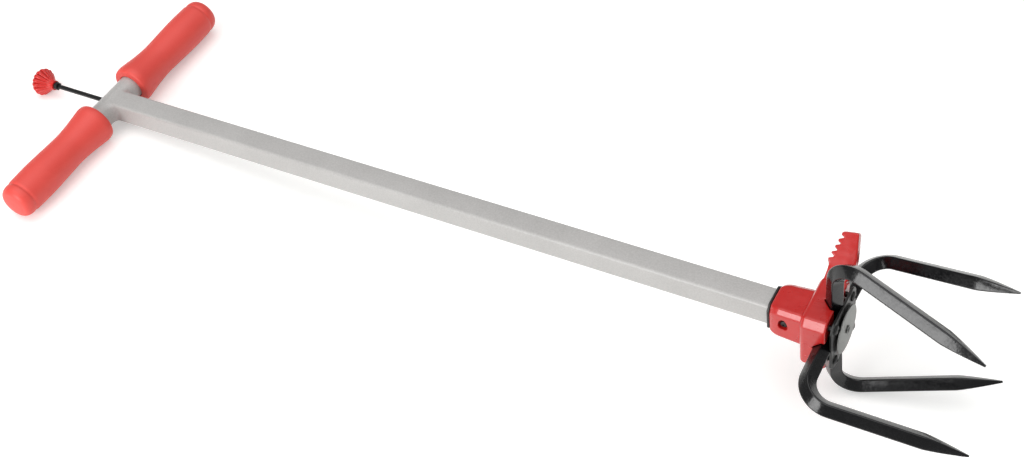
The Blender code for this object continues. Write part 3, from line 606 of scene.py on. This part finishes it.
@dataclass
class ShaftAndBar:
    """Square shaft, the round cross tube that it is coped to, and the weld between them."""

    wall: float = 0.0015
    end: float = 0.8352
    shaft_rings: int = 60
    bar_half_length: float = 0.1630
    bush_hole: float = 0.0042
    drill_reach: float = 0.021
    fillet_side: float = 0.0074
    fillet_top: float = 0.0046
    ripple: float = 0.05
    ripple_pitch: float = 0.0034
    weld_points: int = 240
    weld_root: float = 0.0012

    def shaft(self) -> Mesh:
        """Make the shaft's skin.

        A ring's place runs evenly from the cope to the far end.  The cope's place is the
        square root of the cross tube's radius squared less z squared.

        Returns:
            The skin, outside and bore.
        """
        share = np.linspace(0.0, 1.0, self.shaft_rings)
        skins = []
        for inset in (0.0, self.wall):
            outline = rounded_square(SHAFT_HALF - inset, SHAFT_CORNER - inset)
            cope = np.sqrt((BAR_RADIUS + GAP) ** 2 - outline[:, 1] ** 2)
            skins.append(along_shaft(between(cope, self.end, share), outline))
        return skin_mesh(np.concatenate([skins[0], skins[1][::-1]]), Ends.JOINED)

    def bar(self) -> Mesh:
        """Make the cross tube, drilled through for the ejector rod.

        Returns:
            The tube.
        """
        inner, length = BAR_RADIUS - self.wall, self.bar_half_length
        tube = turned(band(-length, length, inner, BAR_RADIUS), 128, Axis.HANDLE)
        drill = turned(band(-self.drill_reach, self.drill_reach, 0.0, self.bush_hole), 32)
        return combined(skin_mesh(tube, Ends.JOINED), [skin_mesh(drill)], Operation.CUT)

    def weld(self) -> Mesh:
        """Make the weld's fillet, carried round the foot of the shaft.

        At each point of the shaft's outline the fillet is a parabola from the shaft's face
        to the cross tube's skin, with the corner between them as its control point.  Its
        reach swings by a small share with a sine of the distance round, one swing a ripple.

        Returns:
            The bead, closed by a root inside the metal.
        """
        outline = rounded_square(SHAFT_HALF, SHAFT_CORNER, 24)
        ring = np.vstack([outline, outline[:1]])
        run = np.concatenate([[0.0], np.cumsum(np.linalg.norm(np.diff(ring, axis=0), axis=1))])
        wanted = np.linspace(0.0, run[-1], self.weld_points, endpoint=False)
        y, z = (np.interp(wanted, run, column) for column in ring.T)
        out = np.stack([y, z], axis=1)
        out = out - np.clip(out, SHAFT_CORNER - SHAFT_HALF, SHAFT_HALF - SHAFT_CORNER)
        out /= np.linalg.norm(out, axis=1, keepdims=True)
        swings = round(run[-1] / self.ripple_pitch)
        swing = 1.0 + self.ripple * np.sin(2.0 * np.pi * swings * wanted / run[-1])
        reach = (self.fillet_top + (self.fillet_side - self.fillet_top) * np.abs(out[:, 0])) * swing
        place = np.sqrt(BAR_RADIUS**2 - z**2)
        turn = np.arctan2(z, place) + out[:, 1] * reach / BAR_RADIUS
        corner = np.column_stack([place, y, z])
        on_shaft = np.column_stack([place + reach, y, z])
        on_bar = np.column_stack([
            BAR_RADIUS * np.cos(turn), y + out[:, 0] * reach, BAR_RADIUS * np.sin(turn)])
        t = np.linspace(0.0, 1.0, 9)[None, :, None]
        curve = parabola(on_shaft[:, None], corner[:, None], on_bar[:, None], t)
        root = corner - self.weld_root * np.column_stack([np.ones_like(y), out])
        return skin_mesh(np.concatenate([curve, root[:, None]], axis=1), Ends.JOINED)

    def build(self) -> None:
        """Make and place the three pieces."""
        add_piece("shaft_skin", self.shaft(), POWDER_COAT, "shaft_tube")
        add_piece("cross_tube_skin", self.bar(), POWDER_COAT, "handle_bar")
        add_piece("weld_fillet", self.weld(), POWDER_COAT, "handle_weld", sharp=60.0)


@dataclass
class Grip:
    """Moulded grip with a flared mouth, a palm swelling and a closed end."""

    node: str
    side: float
    bore: float = 0.0143
    bore_end: float = 0.1633
    mouth_depth: float = 0.001
    mouth_flare: float = 0.0008
    groove_place: float = 0.1575
    groove_depth: float = 0.0008
    groove_width: float = 0.0017
    dome_height: float = 0.0004
    skin: Stations = (
        (0.0299, 0.0170), (0.0301, 0.0198), (0.0311, 0.0218), (0.0335, 0.0228), (0.0382, 0.0231),
        (0.0450, 0.0223), (0.0600, 0.0205), (0.0780, 0.0193), (0.1000, 0.0199), (0.1250, 0.0207),
        (0.1450, 0.0206), (0.1590, 0.0200), (0.1660, 0.0187), (0.1698, 0.0156), (0.1710, 0.0108),
    )

    def mesh(self) -> Mesh:
        """Make the grip's skin: bore, mouth, outside and a domed end, spun about the handle.

        The outside is the flowing curve through the stations, less a groove whose depth
        falls off as a bell curve from its middle.

        Returns:
            The skin.
        """
        outside = flowing(self.skin, 16)
        away = (outside[:, 0] - self.groove_place) / self.groove_width
        outside[:, 1] -= self.groove_depth * np.exp(-away**2)
        end, rim = outside[-1]
        share = np.linspace(0.15, 1.0, 6)
        dome = np.stack([end + self.dome_height * share * (2 - share), rim * (1 - share)], axis=1)
        mouth = outside[0, 0]
        inside = [
            (self.bore_end, 0.0), (self.bore_end, self.bore), (mouth + self.mouth_depth, self.bore),
            (mouth, self.bore + self.mouth_flare),
        ]
        return skin_mesh(turned(np.vstack([inside, outside, dome]), 128, Axis.HANDLE, self.side))

    def build(self) -> None:
        """Make and place the grip."""
        add_piece(self.node + "_skin", self.mesh(), GRIP_PLASTIC, self.node)


# Ejector


@dataclass
class Ejector:
    """Rod with a fluted knob behind the handle and a disc between the tines."""

    rod_radius: float = 0.0026
    rod_start: float = -0.0990
    rod_end: float = 0.8628
    rod_ease: float = 0.0008
    rod_rings: int = 60
    rod_ring_inset: float = 0.01
    flutes: int = 16
    flute_points: int = 16
    flute_depth: float = 0.0014
    flute_bias: float = 1.6
    lobe_height: float = 2.0
    lobe_drop: float = 1.2
    crown: Stations = ((0.0002, 0.5), (0.0003, 0.0))
    disc_radius: float = 0.0232
    disc_middle: float = 0.006
    disc_ease: float = 0.0005
    nut_radius: float = 0.0039
    nut_height: float = 0.0012
    nut_ease: float = 0.0007
    knob_skin: Stations = (
        (-0.0895, 0.0056), (-0.0925, 0.0058), (-0.0960, 0.0071), (-0.1000, 0.0099),
        (-0.1040, 0.0129), (-0.1066, 0.0145), (-0.1088, 0.0146), (-0.1117, 0.0134),
        (-0.1152, 0.0100), (-0.1178, 0.0055), (-0.1190, 0.0020),
    )

    def rod(self) -> Mesh:
        """Make the rod, its ends eased.

        Returns:
            The rod.
        """
        start, end, radius, inset = self.rod_start, self.rod_end, self.rod_radius, self.rod_ring_inset
        first, last = np.split(eased(band(start, end, 0.0, radius), self.rod_ease), 2)
        middle = np.linspace((start + inset, radius), (end - inset, radius), self.rod_rings)
        return skin_mesh(turned(np.vstack([first, middle, last]), 32))

    def knob(self) -> Mesh:
        """Make the knob.

        The radius at a place and angle is the profile's radius plus a swing times a lobe.
        The lobe is its height times the square root of the cosine's size, less its drop,
        so it is round on top and sharp in the groove.  The swing is a sine of the share of
        the way from neck to dome, raised to a power so that it is fullest at the rim.

        Returns:
            The knob, bored for the rod.
        """
        around = self.flutes * self.flute_points
        angle = np.linspace(0.0, 2.0 * np.pi, around, endpoint=False)
        skin = flowing(self.knob_skin, 8)
        neck, (end, rim) = skin[0, 0], skin[-1]
        along = np.clip((neck - skin[:, 0]) / (neck - end), 0.0, 1.0)
        swing = self.flute_depth * np.sin(np.pi * along**self.flute_bias)
        lobe = self.lobe_height * np.sqrt(np.abs(np.cos(angle * self.flutes / 2))) - self.lobe_drop
        bore_end = self.rod_start - GAP
        inside = [(bore_end, 0.0), (bore_end, ROD_BORE), (neck, ROD_BORE)]
        cap = [(end - rise, rim * share) for rise, share in self.crown]
        rows = np.vstack([inside, skin, cap])
        swings = np.pad(swing, (len(inside), len(cap)))[:, None]
        profile = np.hstack([rows[:, :1], rows[:, 1:] + swings * lobe])
        return skin_mesh(turned(profile, around))

    def disc(self) -> Mesh:
        """Make the disc, its rim eased.

        Returns:
            The disc.
        """
        back, front = DISC_BACK, DISC_BACK + DISC_THICKNESS
        edge = eased(band(back, front, self.disc_middle, self.disc_radius), self.disc_ease)
        profile = np.vstack([(back, ROD_BORE), edge, (front, ROD_BORE)])
        return skin_mesh(turned(profile, 144), Ends.JOINED)

    def nut(self) -> Mesh:
        """Make the low round nut in front of the disc.

        Returns:
            The nut.
        """
        back = DISC_BACK + DISC_THICKNESS
        corners = band(back, back + GAP + self.nut_height, ROD_BORE, self.nut_radius)
        return skin_mesh(turned(eased(corners, self.nut_ease), 48), Ends.JOINED)

    def build(self) -> None:
        """Make and place the moving pieces."""
        add_piece("rod_skin", self.rod(), ROD_BLACK, "ejector_rod", Body.EJECTOR)
        add_piece("fluted_knob", self.knob(), KNOB_PLASTIC, "ejector_knob", Body.EJECTOR, sharp=60.0)
        add_piece("pressed_disc", self.disc(), ZINC, "ejector_disc", Body.EJECTOR)
        add_piece("round_nut", self.nut(), ZINC, "disc_nut", Body.EJECTOR)
        dress_node("knob_nut", NYLON)
        dress_node("disc_collar", ZINC)


@dataclass
class Bushes:
    """Nylon bushes that guide the rod."""

    flange: float = 0.0052
    flange_thickness: float = 0.0013
    body: float = 0.0039
    front: float = -0.0090
    ease: float = 0.0005

    def top(self) -> Mesh:
        """Make the flanged bush in the cross tube's rear wall.

        Returns:
            The bush.
        """
        face = -BAR_RADIUS
        back = face - self.flange_thickness - GAP
        profile = eased([
            (back, ROD_BORE), (back, self.flange), (face, self.flange), (face, self.body),
            (self.front, self.body), (self.front, ROD_BORE),
        ], self.ease)
        return skin_mesh(turned(profile, 48), Ends.JOINED)

    def build(self) -> None:
        """Place the top bush and dress the bottom one."""
        add_piece("flanged_bush", self.top(), NYLON, "rod_guide_top")
        dress_node("rod_guide_bottom", NYLON)


# Socket


@dataclass
class FootSocket:
    """Enamelled casting: flared sleeve, square head with crossed channels, toothed pedal."""

    floor: float = 0.8355
    front: float = 0.8516
    bush: float = 0.0063
    bolt_hole: float = 0.0028
    bolt_depth: float = 0.8345
    recess_radius: float = 0.0046
    recess_top: float = 0.0085
    recess_floor: float = 0.0149
    screw_hole: float = 0.0025
    screw_hole_end: float = 0.0085
    side_reach: float = 0.03
    channel_reach: float = 0.05
    voxel: float = 0.00048
    smoothing: int = 4
    edge_ease: float = 0.0011
    lean: float = 0.16
    sections: Stations = (
        (0.7938, 0.0164, 0.0056), (0.7950, 0.0173, 0.0054), (0.7968, 0.0180, 0.0051),
        (0.7995, 0.0186, 0.0047), (0.8025, 0.0189, 0.0044), (0.8250, 0.0199, 0.0044),
        (0.8262, 0.0240, 0.0052), (0.8272, 0.0280, 0.0060), (0.8288, 0.0302, 0.0064),
        (0.8310, 0.0310, 0.0066), (0.8506, 0.0310, 0.0066), (0.8516, 0.0300, 0.0064),
    )
    arm_back: Stations = (
        (0.8360, 0.0180), (0.8277, 0.0262), (0.8286, 0.0320), (0.8296, 0.0400),
        (0.8302, 0.0465), (0.8303, 0.0515),
    )
    pedal_front: Stations = (
        (0.8521, 0.0710), (0.8538, 0.0600), (0.8539, 0.0500), (0.8526, 0.0440),
        (0.8500, 0.0405), (0.8480, 0.0180),
    )
    pedal_half: float = 0.0048
    pedal_ease: float = 0.0009
    pedal_flat: float = 0.88
    teeth: int = 5
    tooth_pitch: float = 0.0062
    tooth_depth: float = 0.0036
    tooth_tip: float = 0.0016
    tooth_gullet: float = 0.0008
    tooth_slope: float = 0.245
    first_tooth: Pair = (0.8284, 0.0562)
    last_rise: float = 0.0018
    pedal_end_back: float = 0.0832
    pedal_end_front: Pair = (0.8496, 0.0850)
    pedal_end_ease: float = 0.0013

    def body(self) -> Mesh:
        """Make sleeve and head: chamfered square outlines stood along the shaft.

        Returns:
            Their common solid.
        """
        places, halves, chamfers = np.array(self.sections).T
        outlines = chamfered_square(halves, chamfers, self.edge_ease, self.lean)
        return skin_mesh(along_shaft(places, outlines))

    def pedal_outline(self) -> np.ndarray:
        """Lay out the pedal's side view.

        Tooth k's flat tip lies k pitches out from the first and k slopes forward of it, and
        the gullet points lie one tooth depth in front of the line through the tips.

        Returns:
            Rows of place along the shaft and reach from it.
        """
        step = np.arange(self.teeth)[:, None] * self.tooth_pitch
        tip = np.array(self.first_tooth) + step * np.array([self.tooth_slope, 1.0])
        flank = (self.tooth_pitch - self.tooth_gullet) / 2
        rise = self.tooth_slope * flank
        half_tip = self.tooth_tip / 2
        corners = np.stack([
            tip + (self.tooth_depth - rise, -flank), tip + (0.0, -half_tip),
            tip + (0.0, half_tip), tip + (self.tooth_depth + rise, flank),
        ], axis=1).reshape(-1, 2)[1:-1]
        place, reach = self.pedal_end_front
        ease = self.pedal_end_ease
        end = [
            (corners[-1, 0] + self.last_rise, self.pedal_end_back), (place - ease, reach),
            (place, reach - ease)]
        return np.vstack([self.arm_back, corners, end, self.pedal_front])

    def pedal(self) -> Mesh:
        """Make the pedal: its side view, carried half its thickness each way.

        The corner direction has equal parts of y and z; the thickness runs across it.  The
        outer rings are drawn in towards the outline's middle to ease the edges.

        Returns:
            The pedal and its arm.
        """
        outline = self.pedal_outline()
        middle = outline.mean(axis=0)
        shrink = 1.0 - self.pedal_ease / np.linalg.norm(outline - middle, axis=1, keepdims=True)
        rings = []
        for share, scale in ((-1.0, shrink), (-self.pedal_flat, 1.0), (self.pedal_flat, 1.0), (1.0, shrink)):
            place, reach = (middle + (outline - middle) * scale).T
            across = share * self.pedal_half
            y, z = (reach - across) * math.sqrt(0.5), (reach + across) * math.sqrt(0.5)
            rings.append(np.column_stack([place, y, z]))
        return skin_mesh(np.array(rings))

    def channel(self) -> np.ndarray:
        """Make the cutter of the channel along y: a V below the hub line, straight above it.

        Returns:
            The cutter's rings.
        """
        wide = (TINE_HALF + GAP) * math.sqrt(2.0)
        front = self.front + OVERCUT
        outline = np.array([
            (HUB_PLACE - wide, 0.0), (HUB_PLACE, wide), (front, wide), (front, -wide), (HUB_PLACE, -wide)])
        return np.array([np.insert(outline, 1, y, axis=1) for y in (-self.channel_reach, self.channel_reach)])

    def cutters(self) -> list[Mesh]:
        """Make the cutters: shaft bore, channels, bush bore, bolt holes and screw recess.

        The recess is a circle across the side whose upper half is drawn out to an ellipse.

        Returns:
            The cutters.
        """
        front = self.front + OVERCUT
        outline = rounded_square(SHAFT_HALF + GAP, SHAFT_CORNER)
        ends = np.array([self.sections[0][0] - OVERCUT, self.floor])
        channel = self.channel()
        rings = [
            along_shaft(ends, outline), channel, channel[..., [0, 2, 1]],
            turned(band(self.floor - OVERCUT, front, 0.0, self.bush), 48),
        ]
        bolt_hole = turned(band(self.bolt_depth, front, 0.0, self.bolt_hole), 24)
        rings += [bolt_hole + offset for offset in bolt_offsets()]
        recess, bore = (
            turned(band(self.side_reach, end, 0.0, radius), around, Axis.HANDLE, -1.0)
            for end, radius, around in (
                (self.recess_floor, self.recess_radius, 48), (self.screw_hole_end, self.screw_hole, 32)))
        recess[..., 2] *= np.where(recess[..., 2] > 0.0, self.recess_top / self.recess_radius, 1.0)
        rings += [hole + (LOCK_SCREW_PLACE, 0.0, 0.0) for hole in (recess, bore)]
        return [skin_mesh(ring) for ring in rings]

    def build(self) -> None:
        """Make and place the casting, its edges rounded by even small faces and smoothing."""
        joined = combined(self.body(), [self.pedal()], Operation.JOIN)
        cut = combined(joined, self.cutters(), Operation.CUT)
        faces = {"mode": "VOXEL", "voxel_size": self.voxel}
        cast = modified(cut, ("REMESH", faces), ("SMOOTH", {"iterations": self.smoothing}))
        add_piece("enamelled_casting", cast, CAST_ENAMEL, "foot_socket", sharp=80.0)


@dataclass
class Collar:
    """Black ring between the casting and the visible shaft."""

    back: float = 0.7912
    front: float = 0.7935
    half: float = 0.0167
    chamfer: float = 0.0058
    ease: float = 0.0005
    chamfer_ease: float = 0.0004
    bore_half: float = 0.0128
    bore_chamfer: float = 0.0012
    edge_ease: float = 0.0008

    def build(self) -> None:
        """Make and place the ring: outlines out round the rim and back through the bore."""
        drawn_in, full = self.half - self.ease, self.half
        low = self.chamfer - self.chamfer_ease
        stations = np.array([
            (self.back, drawn_in, low), (self.back + self.ease, full, self.chamfer),
            (self.front - self.ease, full, self.chamfer), (self.front, drawn_in, low),
            (self.front, self.bore_half, self.bore_chamfer), (self.back, self.bore_half, self.bore_chamfer),
        ])
        outlines = chamfered_square(stations[:, 1], stations[:, 2], self.edge_ease)
        ring = skin_mesh(along_shaft(stations[:, 0], outlines), Ends.JOINED)
        add_piece("collar_ring", ring, NYLON, "socket_collar")


# Screws


@dataclass(frozen=True)
class ButtonScrew:
    """Button-head screw with a hexagon socket."""

    shank: float
    length: float
    head: float
    height: float
    hex_flats: float
    tip_ease: float = 0.0005
    edge: float = 0.0002
    rim_share: float = 0.25
    dome_share: float = 0.80
    floor_share: float = 0.42
    socket_mouth: float = 1.10
    socket_cone: float = 0.0003

    def rings(self) -> np.ndarray:
        """Make the screw's rings, standing along +X with its seat at the origin.

        The head is a quarter of an ellipse above a short upright rim.  Inside the socket
        the rings are hexagons: half the flats over the cosine to the nearest flat.

        Returns:
            The rings, from the tip of the shank to the middle of the socket's floor.
        """
        angle = np.linspace(0.0, 2.0 * np.pi, 48, endpoint=False)
        tip, height = -self.length, self.height
        rim = height * self.rim_share
        t = np.linspace(0.0, np.pi / 2 * self.dome_share, 7)
        dome = np.stack([rim + (height - rim) * np.sin(t) / np.sin(t[-1]), self.head * np.cos(t)], axis=1)
        body = np.vstack([[
            (tip, 0.0), (tip, self.shank - self.tip_ease), (tip + self.tip_ease, self.shank),
            (0.0, self.shank), (0.0, self.head - self.edge), (self.edge, self.head)], dome])
        hexagon = self.hex_flats / 2 / np.cos(np.mod(angle, np.pi / 3) - np.pi / 6)
        floor = height * self.floor_share
        places = np.array([height, height - self.edge, floor, floor - self.socket_cone])
        scales = np.array([self.socket_mouth, 1.0, 1.0, 0.0])
        socket = np.column_stack([places, scales[:, None] * hexagon])
        return np.concatenate([turned(profile, 48) for profile in (body, socket)])


@dataclass
class Screws:
    """The four clamp bolts and the screw in the sleeve."""

    plate_front: float = 0.8576
    screw_seat: float = 0.0152
    bolt: ButtonScrew = ButtonScrew(
        shank=0.0025, length=0.0224, head=0.0046, height=0.0025, hex_flats=0.0030)
    screw: ButtonScrew = ButtonScrew(
        shank=0.0022, length=0.0057, head=0.0038, height=0.0020, hex_flats=0.0020)

    def build(self) -> None:
        """Make and place the screws."""
        rings = self.bolt.rings() + (self.plate_front, 0.0, 0.0)
        for number, offset in enumerate(bolt_offsets(), 1):
            bolt = skin_mesh(rings + offset)
            add_piece(f"button_bolt_{number}", bolt, BLACK_OXIDE, f"clamp_bolt_{number}")
        x, y, z = np.moveaxis(self.screw.rings(), -1, 0)
        turned_in = np.stack([y + LOCK_SCREW_PLACE, -x - self.screw_seat, z], axis=-1)
        add_piece("recessed_screw", skin_mesh(turned_in), BLACK_OXIDE, "socket_screw")


# Tines


@dataclass
class Claw:
    """Four forged tines at quarter turns, and the plate that clamps them.

    A tine is a square bar that leaves the head, bends and is drawn to a point.
    """

    corner: float = 0.0014
    hub: Triple = (HUB_PLACE, 0.0094, 0.0)
    bend: Triple = (0.8496, 0.0883, 0.0006)
    tip: Triple = (0.9914, 0.0600, 0.0413)
    bend_radius: float = 0.023
    root_roll: float = math.radians(45.0)
    prong_roll: float = math.radians(36.0)
    point_length: float = 0.040
    point_half: float = 0.0008
    point_bulge: float = 1.25
    root_rings: int = 7
    arc_rings: int = 49
    prong_rings: int = 18
    point_rings: int = 33

    def rings(self) -> np.ndarray:
        """Make one tine's rings.

        The centre line is a straight root, an arc that turns the root's heading into the
        prong's about the line square to both, and a straight prong.  Along the last
        stretch the half side falls from the bar's to the point's by a power of the share
        gone.  Each ring is a rounded square across the heading, rolled about it.

        Returns:
            The rings, from the hub to the point.
        """
        hub, bend, tip = (np.array(point) for point in (self.hub, self.bend, self.tip))
        root, prong = (way / np.linalg.norm(way) for way in (bend - hub, tip - bend))
        turn = math.acos(float(root @ prong))
        hinge = np.cross(root, prong) / math.sin(turn)
        inward = np.cross(hinge, root)
        setback = self.bend_radius * math.tan(turn / 2)
        arc_start, arc_end = bend - root * setback, bend + prong * setback
        point_start = tip - prong * self.point_length
        share = np.linspace(0.0, 1.0, self.arc_rings)
        drawn = np.linspace(0.0, 1.0, self.point_rings)
        angle = (turn * share)[:, None]
        centres = np.vstack([
            between(hub, arc_start, np.linspace(0.0, 1.0, self.root_rings + 1)[:-1]),
            arc_start + self.bend_radius * (root * np.sin(angle) + inward * (1.0 - np.cos(angle))),
            between(arc_end, point_start, np.linspace(0.0, 1.0, self.prong_rings + 2)[1:-1]),
            between(point_start, tip, drawn),
        ])
        halves = np.full(len(centres), TINE_HALF)
        halves[-self.point_rings:] += (self.point_half - TINE_HALF) * drawn**self.point_bulge
        gone = np.concatenate([
            np.zeros(self.root_rings), share, np.ones(self.prong_rings + self.point_rings)])[:, None]
        cosine, sine = np.cos(turn * gone), np.sin(turn * gone)
        heading = root * cosine + inward * sine
        upright = np.array([0.0, 0.0, 1.0])
        upright = upright - root * (upright @ root)
        upright /= np.linalg.norm(upright)
        across = hinge * (hinge @ upright) + (inward * cosine - root * sine) * (inward @ upright)
        outer = np.cross(across, heading)
        roll = self.root_roll + (self.prong_roll - self.root_roll) * gone
        sides = np.stack([
            outer * np.cos(roll) + across * np.sin(roll), across * np.cos(roll) - outer * np.sin(roll),
        ], axis=1)
        section = rounded_square(1.0, self.corner / TINE_HALF, 6)
        return centres[:, None] + halves[:, None, None] * (section @ sides)

    def build(self) -> None:
        """Make and place the tines, and dress the plate."""
        rings = self.rings()
        for number, angle in enumerate(QUARTERS, 1):
            cosine, sine = math.cos(angle), math.sin(angle)
            spin = np.array([[1.0, 0.0, 0.0], [0.0, cosine, sine], [0.0, -sine, cosine]])
            add_piece(f"forged_tine_{number}", skin_mesh(rings @ spin), TINE_ENAMEL, f"tine_{number}")
        dress_node("clamp_plate", BLACK_OXIDE)


# Studio


@dataclass
class Studio:
    """Pale floor, soft light and the camera, which is given in the tool's axes."""

    floor_half: float = 12.0
    floor_glow: float = 0.34
    key_azimuth: float = math.radians(-112.0)
    key_elevation: float = math.radians(18.0)
    key_distance: float = 2.4
    key_size: float = 1.2
    key_radiance: float = 7.2
    key_aim: float = 0.90
    sky: Pair = (0.32, 1.96)
    sky_rise: Pair = (0.70, 0.95)
    lens: float = 53.194
    sensor: float = 36.0
    clip: Pair = (0.01, 100.0)
    eye: Triple = (1.14685, -0.82363, 1.06543)
    forward: Triple = (-0.42293, 0.55293, -0.71791)
    right: Triple = (0.86585, 0.48026, -0.14019)

    def floor(self) -> None:
        """Make the floor: a plane of pale matte paint that the camera sees near white.

        The glow is added only where the camera, a gloss or a glass looks at the floor.
        """
        h = self.floor_half
        mesh = bpy.data.meshes.new("floor")
        mesh.from_pydata([(-h, -h, 0.0), (h, -h, 0.0), (h, h, 0.0), (-h, h, 0.0)], [], [(0, 1, 2, 3)])
        made = bpy.data.materials.new("pale_floor_paint")
        made.use_nodes = True
        tree = made.node_tree
        tree.nodes.clear()
        matte = add_node(tree, "ShaderNodeBsdfDiffuse", {"Color": linear("#F2F2F0")}).outputs[0]
        glow = add_node(
            tree, "ShaderNodeEmission", {"Color": linear("#FFFFFF"), "Strength": self.floor_glow}).outputs[0]
        both = add_node(tree, "ShaderNodeAddShader", links={0: matte, 1: glow}).outputs[0]
        path = add_node(tree, "ShaderNodeLightPath")
        seen = path.outputs["Is Camera Ray"]
        for ray in ("Is Glossy Ray", "Is Transmission Ray"):
            either = {0: seen, 1: path.outputs[ray]}
            seen = add_node(tree, "ShaderNodeMath", {"operation": "MAXIMUM"}, either).outputs[0]
        mixed = add_node(tree, "ShaderNodeMixShader", links={"Fac": seen, 1: matte, 2: both})
        add_node(tree, "ShaderNodeOutputMaterial", {"is_active_output": True}, {"Surface": mixed.outputs[0]})
        mesh.materials.append(made)
        linked("studio_floor", mesh)

    def world(self) -> None:
        """Make the surroundings: dim at the sides, with one broad soft light overhead."""
        made = bpy.data.worlds.new("studio")
        made.use_nodes = True
        tree = made.node_tree
        tree.nodes.clear()
        heading = add_node(tree, "ShaderNodeTexCoord").outputs["Generated"]
        height = add_node(tree, "ShaderNodeSeparateXYZ", links={"Vector": heading}).outputs["Z"]
        level = add_node(
            tree, "ShaderNodeMapRange",
            {"interpolation_type": "SMOOTHSTEP", "From Min": self.sky_rise[0], "From Max": self.sky_rise[1],
             "To Min": self.sky[0], "To Max": self.sky[1]}, {"Value": height})
        soft = add_node(
            tree, "ShaderNodeBackground", {"Color": linear("#FFFFFF")}, {"Strength": level.outputs["Result"]})
        add_node(tree, "ShaderNodeOutputWorld", links={"Surface": soft.outputs[0]})
        bpy.context.scene.world = made

    def key(self) -> None:
        """Make the softbox, a square lamp that faces a place on the shaft.

        Its power is radiance times pi times its area, in watts.
        """
        azimuth, level = self.key_azimuth, math.cos(self.key_elevation)
        away = np.array([
            level * math.cos(azimuth), level * math.sin(azimuth), math.sin(self.key_elevation)])
        lamp = bpy.data.lights.new("softbox", "AREA")
        lamp.shape = "SQUARE"
        lamp.size = self.key_size
        lamp.energy = self.key_radiance * math.pi * self.key_size**2
        side = np.cross([0.0, 0.0, 1.0], away)
        side /= np.linalg.norm(side)
        place = AXES @ Vector((self.key_aim, 0.0, 0.0)) + Vector(away * self.key_distance)
        linked("softbox", lamp).matrix_world = laid(side, np.cross(away, side), away, place)

    def camera(self) -> None:
        """Make the camera at the photograph's viewpoint."""
        data = bpy.data.cameras.new("camera")
        data.lens, data.sensor_width = self.lens, self.sensor
        data.sensor_fit = "HORIZONTAL"
        data.clip_start, data.clip_end = self.clip
        forward, right = np.array(self.forward), np.array(self.right)
        item = linked("camera", data)
        item.matrix_world = AXES @ laid(right, np.cross(right, forward), -forward, self.eye)
        bpy.context.scene.camera = item

    def build(self) -> None:
        """Make the whole studio."""
        bpy.context.scene.view_settings.view_transform = "Standard"
        self.floor()
        self.world()
        self.key()
        self.camera()


def main() -> None:
    """Build every class in order and note the sizes."""
    logging.basicConfig(level=logging.INFO, format="%(message)s")
    grips = Grip("grip_near", -1.0), Grip("grip_far", 1.0)
    for part in (
        ShaftAndBar(), *grips, Ejector(), Bushes(), FootSocket(), Collar(), Screws(), Claw(), Studio(),
    ):
        part.build()


if __name__ == "__main__":
    main()
